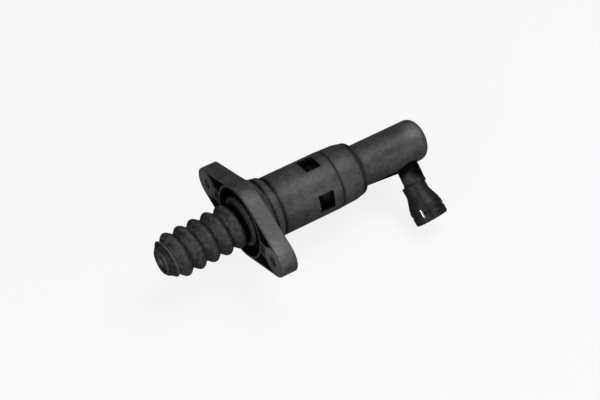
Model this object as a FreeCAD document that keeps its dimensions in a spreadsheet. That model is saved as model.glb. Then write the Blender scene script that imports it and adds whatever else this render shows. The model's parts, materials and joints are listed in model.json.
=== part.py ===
"""Clutch slave cylinder, modelled in its own frame in millimetres.

The cylinder's axis is X. The origin is the centre of the flange's front face, the face that is
bolted down. The pushrod and its rubber boot point to -X, the closed end of the cylinder to +X.
The two ears lie along Y, +Z is up, and the side port leans below the ear on the -Y side.
"""
import FreeCAD, Part
import math
import os
import re

import Sketcher

# Driving dimensions: alias, value in millimetres or degrees, and what it is
SIZES = [
    ("flange_depth", 11.5, "front face to back face of the flange"),
    ("hole_spacing", 79, "between the two bolt holes"),
    ("ear_radius", 11.3, "rounding of each ear"),
    ("hub_radius", 25.8, "round middle of the flange"),
    ("outline_wall", 1.9, "wall round the cored-out front"),
    ("recess_depth", 8, "depth of the cored-out front"),
    ("boss_radius", 9.6, "solid boss round each bush"),
    ("ear_rib_gap", 7, "clear gap between the two ribs of an ear"),
    ("ear_rib_wall", 2, "thickness of an ear's rib"),
    ("edge_round", 0.8, "rounding of the flange's outer edges"),
    ("bush_radius", 4.9, "outside of a bolt bush"),
    ("bolt_radius", 3.4, "hole for a bolt in its bush"),
    ("press_gap", 0.02, "radial gap where a piece is pressed in"),
    ("running_gap", 0.05, "radial gap of a running fit"),
    ("seat_gap", 0.1, "end gap between pieces that butt"),
    ("rubber_gap", 0.3, "gap between rubber and a piece that moves"),
    ("cylinder_wall", 3.2, "wall of the pressure cylinder"),
    ("arm_room", 2.1, "room round the cylinder for the latch arms"),
    ("sleeve_wall", 3.55, "wall of the barrel"),
    ("spigot_wall", 1.6, "wall of its reduced end"),
    ("hub_cone_end", 15.2, "station where that cone ends"),
    ("band_start", 16, "station where the band starts"),
    ("band_end", 21.2, "station where the band ends"),
    ("cone_rise", 1.5, "small end of the cone above the barrel"),
    ("band_rise", 2.1, "front edge of the band above the barrel"),
    ("band_slope", 0.8, "how far the band narrows to its rear"),
    ("groove_depth", 0.9, "groove below the barrel"),
    ("groove_end", 23.2, "station where the groove ends"),
    ("barrel_end", 66.8, "station of the joint line at the barrel's rear"),
    ("joint_chamfer", 0.6, "chamfer on both sides of the joint line"),
    ("spigot_length", 7.2, "length of that reduced end"),
    ("window_start", 48.5, "front edge of the windows"),
    ("window_length", 11, "length of a window along the axis"),
    ("window_width", 13.4, "width of a window across"),
    ("window_count", 4, "windows and latch hooks round the barrel"),
    ("window_clock", 78.8, "turn of a window from +Z towards -Y"),
    ("bore_radius", 11.1, "bore that the piston runs in"),
    ("cylinder_mouth", 44.3, "station of the pressure cylinder's mouth"),
    ("cylinder_reach", 71.8, "from the joint line to its closed end"),
    ("end_wall", 3.7, "thickness of the closed end"),
    ("end_round", 6, "rounding of the closed end"),
    ("land_start", 60.5, "station where the centring land starts"),
    ("shoulder_width", 3, "length of that shoulder"),
    ("collar_length", 19.9, "from the joint line to the collar's rear face"),
    ("collar_step", 0.15, "collar below the barrel"),
    ("collar_round", 2.5, "rounding of the collar's rear edge"),
    ("collar_slope", 8, "length of the sloping stretch before that edge"),
    ("collar_drop", 2.1, "how far the collar narrows there"),
    ("mouth_gap", 1.2, "width of the dark gap round the cylinder"),
    ("collar_mouth_depth", 2.6, "depth of that gap"),
    ("guide_flange_radius", 18.8, "front flange of the guide bush"),
    ("guide_flange_width", 1.8, "thickness of that flange"),
    ("guide_neck_radius", 13.2, "neck that the boot snaps on"),
    ("guide_neck_length", 5.6, "length of that neck"),
    ("guide_lip_radius", 13.9, "lip at the neck's front"),
    ("guide_lip_width", 1.1, "length of that lip"),
    ("guide_mouth_radius", 10.2, "front opening for the pushrod"),
    ("guide_stop", 12.2, "station of the stop for the piston"),
    ("arm_root", 30, "station where the latch arms start"),
    ("arm_wall", 1.5, "thickness of a latch arm"),
    ("arm_angle", 20, "width of a latch arm in degrees"),
    ("hook_length", 4.6, "length of a latch hook"),
    ("hook_radius", 17.5, "top of a latch hook"),
    ("hook_flat", 1.8, "flat top of a latch hook"),
    ("wiper_start", 37.5, "station of the wiper seal"),
    ("wiper_width", 4, "length of the wiper seal"),
    ("wiper_radius", 12.8, "outside of the wiper seal"),
    ("piston_length", 48.7, "body of the piston"),
    ("piston_cavity", 8, "hollow front of the piston"),
    ("piston_stem", 4, "stem that carries cup and spring seat"),
    ("piston_stem_length", 9.4, "length of that stem"),
    ("ring_margin", 3, "piston behind the guide ring's groove"),
    ("ring_width", 4, "width of the guide ring"),
    ("ring_depth", 1.1, "depth of the guide ring's groove"),
    ("washer_width", 0.9, "thickness of the backup washer"),
    ("cup_width", 5.6, "length of the primary cup"),
    ("cup_lip", 1.9, "thickness of the cup's outer lip"),
    ("cup_groove", 3, "depth of the cup's hollow"),
    ("ball_radius", 5, "ball of the pushrod"),
    ("ball_station", 44, "station of the ball's centre"),
    ("ball_gap", 0.06, "gap between ball and seat"),
    ("seat_front", 5.5, "ball seat in front of the ball's centre"),
    ("seat_back", 6.3, "ball seat behind the ball's centre"),
    ("seat_mouth", 4.6, "mouth of the ball seat"),
    ("seat_ring_width", 1.2, "thickness of the snap ring"),
    ("seat_ring_depth", 0.9, "depth of its groove in the piston"),
    ("seat_ring_bore", 6.2, "inside of the snap ring"),
    ("rod_radius", 4, "pushrod"),
    ("rod_neck_radius", 3.2, "neck between rod and ball"),
    ("rod_neck_length", 3, "length of that neck"),
    ("rod_front", -52, "station of the pushrod's front end"),
    ("cap_front", -58, "station of the end cap's front rim"),
    ("cap_radius", 9, "head of the end cap"),
    ("cap_length", 12, "length of the end cap"),
    ("cap_rim", 1.5, "width of the front rim"),
    ("cap_groove_depth", 2.1, "depth of the annular groove"),
    ("cap_dome_radius", 3, "small dome in the middle"),
    ("cap_dome_height", 0.5, "how far the dome stands before the rim"),
    ("cap_waist_radius", 7.9, "waist that the boot's bead sits in"),
    ("cap_waist_start", 4.4, "waist from the cap's front"),
    ("cap_waist_width", 2.6, "width of the waist"),
    ("cap_collar_radius", 9.8, "collar behind the waist"),
    ("boot_folds", 5, "full folds of the boot"),
    ("fold_pitch", 9.88, "from crest to crest"),
    ("last_crest", 7.1, "last full crest in front of the flange face"),
    ("crest_radius", 15.7, "outside of a crest"),
    ("valley_radius", 12.6, "outside of a valley"),
    ("crest_flat", 1.5, "length of a crest before rounding"),
    ("valley_flat", 2.2, "length of a valley before rounding"),
    ("fold_round", 0.7, "rounding of the crests"),
    ("boot_wall", 1.4, "rubber thickness"),
    ("cuff_gap", 0.6, "end gap of the cuff on its neck, room for the droop"),
    ("droop", 1.5, "how far the front lip hangs below the axis"),
    ("root_fold_radius", 17, "larger fold at the boot's root"),
    ("root_crest", 1.6, "station of the root fold"),
    ("cuff_radius", 16.1, "outside of the boot's cuff"),
    ("end_valley_radius", 12, "shallow valley behind the front lip"),
    ("lip_radius", 12.7, "front lip of the boot"),
    ("lip_start", 1, "boot's front edge behind the cap's rim"),
    ("lip_nose", 10.4, "outside of that front edge"),
    ("spring_wire", 1.8, "wire of the preload spring"),
    ("spring_radius", 8.2, "mean radius of the preload spring"),
    ("spring_turns", 8, "active turns of the preload spring"),
    ("spring_seat_radius", 10.6, "disc behind the cup"),
    ("spring_seat_width", 2.2, "thickness of that disc"),
    ("spring_guide_radius", 6.9, "nose inside the spring"),
    ("spring_guide_length", 4, "length of that nose"),
    ("port_margin", 16.8, "side port's axis from the closed end"),
    ("port_angle", 38.5, "port below the ear line, in degrees"),
    ("neck_radius", 7.5, "side neck of the pressure cylinder"),
    ("neck_reach", 25.2, "neck's end from the cylinder's axis"),
    ("neck_bore", 5, "seat for the connector's spigot"),
    ("neck_bore_depth", 8.6, "depth of that seat"),
    ("passage_radius", 1.6, "fluid passage"),
    ("gusset_length", 24, "rib in front of the neck"),
    ("gusset_height", 2.3, "how far the rib stands from the cylinder"),
    ("gusset_width", 4, "thickness of that rib"),
    ("connector_radius", 8.1, "connector's body"),
    ("connector_offset", 1.7, "body's axis before the neck's axis"),
    ("connector_lean", 4.5, "lean of the connector's axis in degrees"),
    ("connector_foot", 0.9, "start of the leaning body above the neck's end"),
    ("connector_body", 7.8, "straight length of the connector's body"),
    ("flare_length", 8.4, "length of the flare"),
    ("socket_radius", 11.3, "outside of the socket"),
    ("socket_length", 11, "length of the socket's end"),
    ("socket_groove", 0.7, "depth of the socket's two grooves"),
    ("socket_groove_width", 0.9, "width of those grooves"),
    ("socket_ring", 6.6, "second groove from the socket's open end"),
    ("socket_bore", 6.4, "bore for the pipe's end piece"),
    ("socket_depth", 15, "depth of that bore"),
    ("pipe_radius", 4.1, "bore through seal and retainer"),
    ("seal_width", 2, "section of the two ring seals"),
    ("retainer_length", 5, "length of the seal retainer"),
    ("clip_wire", 2, "wire of the retaining clip"),
    ("clip_spread", 10.6, "between the clip's legs"),
    ("clip_height", 3.8, "clip from the socket's open end"),
    ("clip_turn", 19, "turn of the clip about the socket"),
    ("clip_travel", 3, "push that releases the pipe"),
    ("clip_handle", 8, "length of the bent end"),
    ("clip_bend", 1.4, "bend of the wire at its middle"),
    ("clip_tip", 6, "free leg's end below the socket's surface"),
]

# Sizes that follow from the driving ones: alias, formula and what it is
DERIVED = [
    ("cylinder_radius", "bore_radius + cylinder_wall", "outside of the pressure cylinder"),
    ("sleeve_bore", "cylinder_radius + arm_room", "radius of the bore through flange and barrel"),
    ("barrel_radius", "sleeve_bore + sleeve_wall", "outside of the barrel"),
    ("spigot_radius", "sleeve_bore + spigot_wall", "reduced end that the rear collar covers"),
    ("shoulder_radius", "spigot_radius - 3 * running_gap", "shoulder that the collar clamps"),
    ("groove_radius", "barrel_radius - groove_depth", "bottom of the groove behind the band"),
    ("band_radius", "barrel_radius + band_rise", "raised band behind the cone"),
    ("hub_cone_radius", "barrel_radius + cone_rise", "small end of the cone behind the flange"),
    ("collar_radius", "barrel_radius - collar_step", "outside of the rear collar"),
    ("collar_mouth", "cylinder_radius + mouth_gap", "radius of the dark gap round the cylinder"),
]
ALIASES = [row[0] for row in SIZES + DERIVED]
X_DIRECTION = FreeCAD.Vector(1, 0, 0)
Z_DIRECTION = FreeCAD.Vector(0, 0, 1)

# Stations and radii that follow from the sheet, as expressions
HOLE_OFFSET = "hole_spacing / 2"
TANGENT_SINE = "((hub_radius - ear_radius) / (hole_spacing / 2))"
SPIGOT_END = "(barrel_end + spigot_length)"
GUIDE_FACE = "(recess_depth - guide_flange_width)"
GUIDE_LIP = f"({GUIDE_FACE} - guide_neck_length)"
GUIDE_REAR = "(cylinder_mouth - seat_gap)"
ARM_OUTSIDE = "(sleeve_bore - seat_gap)"
ARM_INSIDE = f"({ARM_OUTSIDE} - arm_wall)"
HOOK_START = "(window_start + seat_gap)"
PISTON_RADIUS = "(bore_radius - running_gap)"
PISTON_FRONT = "(guide_stop + seat_gap)"
PISTON_BACK = f"({PISTON_FRONT} + piston_length)"
STEM_BORE = "(piston_stem + press_gap)"
RING_START = f"({PISTON_BACK} - ring_margin - ring_width)"
CUP_START = f"({PISTON_BACK} + washer_width + seat_gap / 2)"
SPRING_SEAT = f"({CUP_START} + cup_width + seat_gap / 2)"
SPRING_REST = f"({SPRING_SEAT} + spring_seat_width)"
COLLAR_END = "(barrel_end + collar_length)"
CYLINDER_END = "(barrel_end + cylinder_reach)"
CHAMBER_END = f"({CYLINDER_END} - end_wall)"
PORT_STATION = f"({CYLINDER_END} - port_margin)"
WAIST_START = "(cap_front + cap_waist_start)"
WAIST_END = f"({WAIST_START} + cap_waist_width)"
SOCKET_START = "(connector_body + flare_length)"
SOCKET_END = f"({SOCKET_START} + socket_length)"
SOCKET_FLOOR = f"({SOCKET_END} - socket_depth)"
CLIP_STATION = f"({SOCKET_END} - clip_height)"
CLIP_HALF = "(clip_wire / 2 + seat_gap)"

# Frames: the port's X axis points out of the neck and its Y axis along the cylinder,
# and the socket's frame stands on the neck's end, set off and leaning
PORT_FRAME = f"placement(vector({PORT_STATION}; 0; 0); rotation(-90; port_angle; 0))"
SOCKET_SEAT = ("placement(vector(neck_reach; -connector_offset; 0); "
               "rotation(vector(0; 0; 1); connector_lean))")
SOCKET_FRAME = f"{PORT_FRAME} * {SOCKET_SEAT}"

# The pushrod hangs a little to the port's side, turned about its ball, and the boot follows,
# turned about the middle of the flange's front face so that its lip stays on the end cap
DROOP_AXIS = "vector(0; -sin(port_angle); cos(port_angle))"
ROD_DROOP = "asin(droop / (ball_station - cap_front))"
BOOT_DROOP = f"asin(sin({ROD_DROOP}) * (1 - ball_station / {WAIST_START}))"
ROD_FRAME = (f"placement(vector(0; 0; 0); rotation({DROOP_AXIS}; {ROD_DROOP}); "
             "vector(ball_station; 0; 0))")
BOOT_FRAME = f"placement(vector(0; 0; 0); rotation({DROOP_AXIS}; {BOOT_DROOP}))"


def about_x(angle):
    """Placement turned about X, as an expression."""
    return f"placement(vector(0; 0; 0); rotation(vector(1; 0; 0); {angle}))"


def moved(x, y, z):
    """Placement moved and not turned, as an expression."""
    return f"placement(vector({x}; {y}; {z}); rotation(0; 0; 0))"


def bound(text):
    """Expression with each alias read from the sheet."""
    def prefixed(match):
        word = match.group()
        return "sizes." + word if word in ALIASES else word
    return re.sub(r"[a-z_]+", prefixed, str(text))


def make_sheet(doc):
    """Spreadsheet of the driving dimensions, one alias a row."""
    sheet = doc.addObject("Spreadsheet::Sheet", "sizes")
    formulas = [(name, f"={formula}", note) for name, formula, note in DERIVED]
    for row, (name, value, note) in enumerate(SIZES + formulas, start=1):
        sheet.set(f"A{row}", name)
        sheet.set(f"B{row}", str(value))
        sheet.set(f"C{row}", note)
        sheet.setAlias(f"B{row}", name)
    doc.recompute()
    return sheet


class Piece:
    """One sub-part: a body whose sketches and features are bound to the sheet."""

    def __init__(self, doc, sheet, label, frame=None):
        self.doc = doc
        self.sheet = sheet
        self.body = doc.addObject("PartDesign::Body", label)
        self.body.Label = label
        if frame:
            self.body.setExpression("Placement", bound(frame))

    def number(self, text):
        """Value of an expression now."""
        return float(self.sheet.evalExpression(bound(text)))

    def origin(self, role):
        """Plane or axis of the body's own origin."""
        return [item for item in self.body.Origin.OriginFeatures if item.Role == role][0]

    def sketch(self, name, role="XY_Plane", place=None):
        """Sketch on an origin plane, moved in it by a placement given as an expression."""
        sketch = self.body.newObject("Sketcher::SketchObject", name)
        sketch.AttachmentSupport = [(self.origin(role), "")]
        sketch.MapMode = "FlatFace"
        if place:
            sketch.setExpression("AttachmentOffset", bound(place))
        return sketch

    def bind(self, sketch, kind, geometry, point, text):
        """Dimension from the sketch's origin to a point, set by an expression."""
        place = Sketcher.Constraint(kind, -1, 1, geometry, point, self.number(text))
        index = sketch.addConstraint(place)
        sketch.setExpression(f"Constraints[{index}]", bound(text))

    def bind_radius(self, sketch, geometry, text):
        """Radius of a circle or arc, set by an expression."""
        index = sketch.addConstraint(Sketcher.Constraint("Radius", geometry, self.number(text)))
        sketch.setExpression(f"Constraints[{index}]", bound(text))

    def polygon(self, sketch, points):
        """Closed outline through points given as pairs of expressions."""
        corners = [FreeCAD.Vector(self.number(x), self.number(y), 0) for x, y in points]
        first = sketch.GeometryCount
        count = len(points)
        for index, corner in enumerate(corners):
            sketch.addGeometry(Part.LineSegment(corner, corners[(index + 1) % count]), False)
        for index, (x, y) in enumerate(points):
            following = first + (index + 1) % count
            joined = Sketcher.Constraint("Coincident", first + index, 2, following, 1)
            sketch.addConstraint(joined)
            self.bind(sketch, "DistanceX", first + index, 1, x)
            self.bind(sketch, "DistanceY", first + index, 1, y)

    def rectangle(self, sketch, x, y, half_length, half_width):
        """Rectangle round a centre."""
        left, right = f"{x} - {half_length}", f"{x} + {half_length}"
        low, high = f"{y} - {half_width}", f"{y} + {half_width}"
        self.polygon(sketch, [(left, low), (right, low), (right, high), (left, high)])

    def circle(self, sketch, x, y, radius):
        """Circle with its centre and radius given as expressions."""
        centre = FreeCAD.Vector(self.number(x), self.number(y), 0)
        shape = Part.Circle(centre, Z_DIRECTION, self.number(radius))
        geometry = sketch.addGeometry(shape, False)
        self.bind(sketch, "DistanceX", geometry, 3, x)
        self.bind(sketch, "DistanceY", geometry, 3, y)
        self.bind_radius(sketch, geometry, radius)

    def revolve(self, name, points, cut=False, angle=None, place=None):
        """Outline of stations and radii turned about the sketch's own X axis."""
        sketch = self.sketch(name + "_outline", place=place)
        self.polygon(sketch, points)
        kind = "PartDesign::Groove" if cut else "PartDesign::Revolution"
        feature = self.body.newObject(kind, name)
        feature.Profile = sketch
        feature.ReferenceAxis = (sketch, ["H_Axis"])
        feature.Angle = 360
        if angle:
            feature.Midplane = True
            feature.setExpression("Angle", bound(angle))
        return feature

    def pad(self, name, sketch, length, middle=False):
        """Sketch raised along its normal, or to both sides."""
        feature = self.body.newObject("PartDesign::Pad", name)
        feature.Profile = sketch
        feature.setExpression("Length", bound(length))
        feature.Midplane = middle
        return feature

    def pocket(self, name, sketch, depth, middle=False):
        """Sketch cut along its normal, or to both sides."""
        feature = self.body.newObject("PartDesign::Pocket", name)
        feature.Profile = sketch
        feature.setExpression("Length", bound(depth))
        feature.Reversed = not middle
        feature.Midplane = middle
        return feature

    def pattern(self, name, feature, count):
        """Copies of a feature spread round the X axis."""
        pattern = self.body.newObject("PartDesign::PolarPattern", name)
        pattern.Originals = [feature]
        pattern.Axis = (self.origin("X_Axis"), [""])
        pattern.Angle = 360
        pattern.setExpression("Occurrences", bound(count))
        self.body.Tip = pattern
        return pattern

    def ball(self, name, station, radius, cut=False):
        """Sphere on the axis, added or cut."""
        kind = "PartDesign::SubtractiveSphere" if cut else "PartDesign::AdditiveSphere"
        sphere = self.body.newObject(kind, name)
        sphere.setExpression("Radius", bound(radius))
        sphere.setExpression("Placement.Base.x", bound(station))
        return sphere

    def fillet(self, name, names, radius):
        """Rounding of the named edges of the body's tip."""
        base = self.body.Tip
        feature = self.body.newObject("PartDesign::Fillet", name)
        feature.Base = (base, names)
        feature.setExpression("Radius", bound(radius))
        self.body.Tip = feature
        return feature

    def round_rings(self, name, rings, radius):
        """Rounding of the ring edges about X at the given stations and radii."""
        self.doc.recompute()
        places = [(self.number(x), self.number(r)) for x, r in rings]
        edges = enumerate(self.body.Tip.Shape.Edges, start=1)
        return self.fillet(name, [f"Edge{i}" for i, edge in edges if is_ring(edge, places)], radius)


def is_ring(edge, places, near=0.01):
    """Whether an edge is a circle about X at one of the stations and radii."""
    if not isinstance(edge.Curve, Part.Circle):
        return False
    centre = edge.Curve.Center
    if abs(centre.y) > near or abs(centre.z) > near:
        return False
    return any(abs(centre.x - x) < near and abs(edge.Curve.Radius - r) < near for x, r in places)


def outline_edges(shape, station, near=0.01):
    """Names of the flange's outermost edges in the plane at a station."""
    faces = [face for face in shape.Faces
             if max(abs(face.BoundBox.XMin - station), abs(face.BoundBox.XMax - station)) < near]
    outer = max(faces, key=lambda face: face.BoundBox.YLength).OuterWire.Edges
    return [f"Edge{i}" for i, edge in enumerate(shape.Edges, start=1)
            if any(edge.isSame(other) for other in outer)]


def flange_outline(piece, name, inset):
    """Round hub and two ears with tangent sides, all moved in by the inset."""
    sketch = piece.sketch(name, role="YZ_Plane")
    hub = f"(hub_radius - ({inset}))"
    ear = f"(ear_radius - ({inset}))"
    lean = math.asin(piece.number(TANGENT_SINE))
    quarter = math.pi / 2
    arcs = []
    for across, radius, start, end in [
            (HOLE_OFFSET, ear, lean - quarter, quarter - lean),
            ("0", hub, quarter - lean, quarter + lean),
            (f"-{HOLE_OFFSET}", ear, quarter + lean, 3 * quarter - lean),
            ("0", hub, 3 * quarter - lean, 3 * quarter + lean)]:
        centre = FreeCAD.Vector(piece.number(across), 0, 0)
        circle = Part.Circle(centre, Z_DIRECTION, piece.number(radius))
        arc = sketch.addGeometry(Part.ArcOfCircle(circle, start, end), False)
        piece.bind_radius(sketch, arc, radius)
        piece.bind(sketch, "DistanceX", arc, 3, across)
        piece.bind(sketch, "DistanceY", arc, 3, "0")
        arcs.append(arc)
    for index, arc in enumerate(arcs):
        following = arcs[(index + 1) % len(arcs)]
        ends = sketch.getPoint(arc, 2), sketch.getPoint(following, 1)
        line = sketch.addGeometry(Part.LineSegment(*ends), False)
        sketch.addConstraint(Sketcher.Constraint("Tangent", arc, 2, line, 1))
        sketch.addConstraint(Sketcher.Constraint("Tangent", line, 2, following, 1))
    return sketch


def ear_pockets(piece, side, sign):
    """Solid boss round an ear's bush and the two ribs that tie it to the recess wall."""
    boss = piece.sketch(f"{side}_boss_outline", role="YZ_Plane")
    piece.circle(boss, f"{sign}{HOLE_OFFSET}", "0", "boss_radius")
    piece.pad(f"{side}_boss", boss, "recess_depth")
    near = f"{sign}(hub_radius - outline_wall / 2)"
    far = f"{sign}({HOLE_OFFSET} - boss_radius / 2)"
    for place, lift in (("high", ""), ("low", "-")):
        rib = piece.sketch(f"{side}_{place}_rib_outline", role="YZ_Plane")
        inner, outer = f"{lift}(ear_rib_gap / 2)", f"{lift}(ear_rib_gap / 2 + ear_rib_wall)"
        piece.polygon(rib, [(near, inner), (far, inner), (far, outer), (near, outer)])
        piece.pad(f"{side}_{place}_rib", rib, "recess_depth")


def mounting_sleeve(piece):
    """Flange with two ears and a cored-out front, and the barrel with its windows."""
    piece.pad("flange_plate", flange_outline(piece, "flange_outline", "0"), "flange_depth")
    core = flange_outline(piece, "core_outline", "outline_wall")
    piece.pocket("flange_core", core, "recess_depth")
    wall = piece.sketch("recess_wall_outline", role="YZ_Plane")
    piece.circle(wall, "0", "0", "hub_radius - outline_wall / 4")
    piece.circle(wall, "0", "0", "hub_radius - outline_wall")
    piece.pad("recess_wall", wall, "recess_depth")
    ear_pockets(piece, "lower", "-")
    ear_pockets(piece, "upper", "")
    piece.revolve("barrel", [
        ("recess_depth", "0"), ("recess_depth", "hub_radius - outline_wall"),
        ("flange_depth", "hub_radius - 1.5 * edge_round"),
        ("hub_cone_end - 1.2", "hub_cone_radius + 1.8"), ("hub_cone_end", "hub_cone_radius"),
        ("band_start", "hub_cone_radius"), ("band_start + 0.3", "band_radius"),
        ("band_end", "band_radius - band_slope"), ("band_end + 0.4", "groove_radius"),
        ("groove_end", "groove_radius"), ("groove_end", "barrel_radius"),
        ("barrel_end - joint_chamfer", "barrel_radius"),
        ("barrel_end", "barrel_radius - joint_chamfer"), ("barrel_end", "spigot_radius"),
        (SPIGOT_END, "spigot_radius"), (SPIGOT_END, "0")])
    bore = piece.sketch("bore_outline", role="YZ_Plane")
    piece.circle(bore, "0", "0", "sleeve_bore")
    piece.pocket("bore", bore, f"{SPIGOT_END} + 1")
    holes = piece.sketch("bush_holes_outline", role="YZ_Plane")
    piece.circle(holes, f"-{HOLE_OFFSET}", "0", "bush_radius + press_gap")
    piece.circle(holes, HOLE_OFFSET, "0", "bush_radius + press_gap")
    piece.pocket("bush_holes", holes, "flange_depth + 1")
    window = piece.sketch("window_outline", place=about_x("window_clock"))
    piece.rectangle(window, "window_start + window_length / 2", "0",
                    "window_length / 2", "window_width / 2")
    cut = piece.pocket("window", window, "barrel_radius + 2")
    piece.pattern("windows", cut, "window_count")
    piece.doc.recompute()
    shape = piece.body.Tip.Shape
    edges = outline_edges(shape, 0) + outline_edges(shape, piece.number("flange_depth"))
    piece.fillet("outline_round", edges, "edge_round")


def flange_bush(piece, sign):
    """Steel bush that takes the bolt's load in an ear."""
    sketch = piece.sketch("bush_outline", role="YZ_Plane")
    piece.circle(sketch, f"{sign}{HOLE_OFFSET}", "0", "bush_radius")
    piece.circle(sketch, f"{sign}{HOLE_OFFSET}", "0", "bolt_radius")
    piece.pad("bush", sketch, "flange_depth")


def rear_collar(piece):
    """Collar that clamps the pressure cylinder's shoulder on the sleeve's spigot."""
    front = "(barrel_end + seat_gap)"
    seat = f"({SPIGOT_END} + shoulder_width + 2 * seat_gap)"
    spigot = "(spigot_radius + seat_gap)"
    bore = "(cylinder_radius + seat_gap)"
    mouth = f"({COLLAR_END} - collar_mouth_depth)"
    edge = "(collar_radius - collar_drop)"
    piece.revolve("collar", [
        (front, spigot), (front, "collar_radius - joint_chamfer"),
        (f"{front} + joint_chamfer", "collar_radius"),
        (f"{COLLAR_END} - collar_slope", "collar_radius - collar_drop / 5"), (COLLAR_END, edge),
        (COLLAR_END, "collar_mouth"), (mouth, "collar_mouth"), (mouth, bore), (seat, bore),
        (seat, spigot)])
    rounding = f"min(collar_round; {edge} - collar_mouth - 0.1)"
    piece.round_rings("collar_edge", [(COLLAR_END, edge)], rounding)


def pressure_cylinder(piece):
    """Slim cylinder with a closed end, a clamped shoulder and the side neck."""
    land = "(sleeve_bore - seat_gap)"
    shoulder = f"({SPIGOT_END} + seat_gap)"
    shoulder_end = f"({shoulder} + shoulder_width)"
    piece.revolve("barrel", [
        ("cylinder_mouth", "0"), ("cylinder_mouth", "cylinder_radius"),
        ("land_start", "cylinder_radius"), ("land_start", land), (shoulder, land),
        (shoulder, "shoulder_radius"), (shoulder_end, "shoulder_radius"),
        (shoulder_end, "cylinder_radius"), (CYLINDER_END, "cylinder_radius"),
        (CYLINDER_END, "0")])
    piece.round_rings("end_edge", [(CYLINDER_END, "cylinder_radius")], "end_round")
    outward = about_x("90 + port_angle")
    neck = piece.sketch("neck_outline", place=outward)
    piece.circle(neck, PORT_STATION, "0", "neck_radius")
    piece.pad("neck", neck, "neck_reach")
    gusset = piece.sketch("gusset_outline", place=about_x("port_angle - 180"))
    piece.polygon(gusset, [
        (f"{PORT_STATION} - neck_radius - gusset_length", "cylinder_radius - 1"),
        (f"{PORT_STATION} - neck_radius - gusset_length", "cylinder_radius"),
        (PORT_STATION, "cylinder_radius + gusset_height"),
        (PORT_STATION, "cylinder_radius - 1")])
    piece.pad("gusset", gusset, "gusset_width", middle=True)
    piece.revolve("bore", [
        ("cylinder_mouth - 1", "0"), ("cylinder_mouth - 1", "bore_radius + 0.6"),
        ("cylinder_mouth", "bore_radius + 0.6"), ("cylinder_mouth + 1.2", "bore_radius"),
        (CHAMBER_END, "bore_radius"), (CHAMBER_END, "0")], cut=True)
    passage = piece.sketch("passage_outline", place=outward)
    piece.circle(passage, PORT_STATION, "0", "passage_radius")
    piece.pocket("passage", passage, "neck_reach + 1")
    floor = moved("0", "0", "neck_reach - neck_bore_depth")
    seat = piece.sketch("neck_bore_outline", place=f"{outward} * {floor}")
    piece.circle(seat, PORT_STATION, "0", "neck_bore")
    piece.pocket("neck_bore", seat, "neck_bore_depth + 1")


def guide_bush(piece):
    """Front bush that guides the piston, holds the boot and latches into the windows."""
    floor = "(recess_depth - seat_gap)"
    lip_back = f"({GUIDE_LIP} + guide_lip_width)"
    tube = f"({ARM_INSIDE} - 0.5)"
    piece.revolve("bush", [
        (GUIDE_LIP, "guide_mouth_radius"), (GUIDE_LIP, "guide_lip_radius"),
        (lip_back, "guide_lip_radius"), (lip_back, "guide_neck_radius"),
        (GUIDE_FACE, "guide_neck_radius"), (GUIDE_FACE, "guide_flange_radius"),
        (floor, "guide_flange_radius"), (floor, ARM_OUTSIDE), ("arm_root", ARM_OUTSIDE),
        ("arm_root", tube), (GUIDE_REAR, tube), (GUIDE_REAR, "bore_radius"),
        ("guide_stop", "bore_radius"), ("guide_stop", "guide_mouth_radius")])
    groove_back = "(wiper_start + wiper_width + 2 * seat_gap)"
    groove = "(wiper_radius + press_gap)"
    piece.revolve("wiper_groove", [
        ("wiper_start", "bore_radius - 1"), ("wiper_start", groove),
        (groove_back, groove), (groove_back, "bore_radius - 1")], cut=True)
    hook_end = f"({HOOK_START} + hook_length)"
    arm = piece.revolve("arm", [
        ("arm_root - 1", ARM_INSIDE), ("arm_root - 1", ARM_OUTSIDE), (HOOK_START, ARM_OUTSIDE),
        (HOOK_START, "hook_radius"), (f"{HOOK_START} + hook_flat", "hook_radius"),
        (hook_end, ARM_OUTSIDE), (hook_end, ARM_INSIDE)],
        angle="arm_angle", place=about_x("90 + window_clock"))
    piece.pattern("arms", arm, "window_count")


def wiper_seal(piece):
    """Lip ring that wipes the piston."""
    start = "(wiper_start + seat_gap)"
    back = f"({start} + wiper_width)"
    bore = "(bore_radius - running_gap / 2)"
    relief = "(bore_radius + 0.6)"
    piece.revolve("seal", [
        (start, relief), (start, "wiper_radius"), (back, "wiper_radius"), (back, bore),
        (f"{back} - wiper_width / 3", bore), (f"{back} - wiper_width / 2", relief)])


def piston(piece):
    """Hollow piston with a socket for the ball seat and a stem for the cup."""
    ring_end = f"({RING_START} + ring_width)"
    ring_floor = f"({PISTON_RADIUS} - ring_depth)"
    stem_end = f"({PISTON_BACK} + piston_stem_length)"
    piece.revolve("outside", [
        (PISTON_FRONT, "0"), (PISTON_FRONT, f"{PISTON_RADIUS} - 0.8"),
        (f"{PISTON_FRONT} + 0.8", PISTON_RADIUS), (RING_START, PISTON_RADIUS),
        (RING_START, ring_floor),
        (ring_end, ring_floor), (ring_end, PISTON_RADIUS), (PISTON_BACK, PISTON_RADIUS),
        (PISTON_BACK, "piston_stem"), (stem_end, "piston_stem"), (stem_end, "0")])
    back = "(ball_station - seat_front - seat_gap / 2)"
    front = f"({back} - seat_ring_width - seat_gap)"
    groove = "(piston_cavity + seat_ring_depth)"
    floor = "(ball_station + seat_back)"
    piece.revolve("cavity", [
        (f"{PISTON_FRONT} - 1", "0"), (f"{PISTON_FRONT} - 1", "piston_cavity"),
        (front, "piston_cavity"), (front, groove), (back, groove), (back, "piston_cavity"),
        (floor, "piston_cavity"), (floor, "0")], cut=True)


def guide_ring(piece):
    """Bearing band in the piston's groove."""
    start = f"({RING_START} + seat_gap / 2)"
    end = f"({start} + ring_width - seat_gap)"
    inside = f"({PISTON_RADIUS} - ring_depth + press_gap)"
    outside = "(bore_radius - running_gap / 2)"
    piece.revolve("ring", [(start, inside), (start, outside), (end, outside), (end, inside)])


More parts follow.
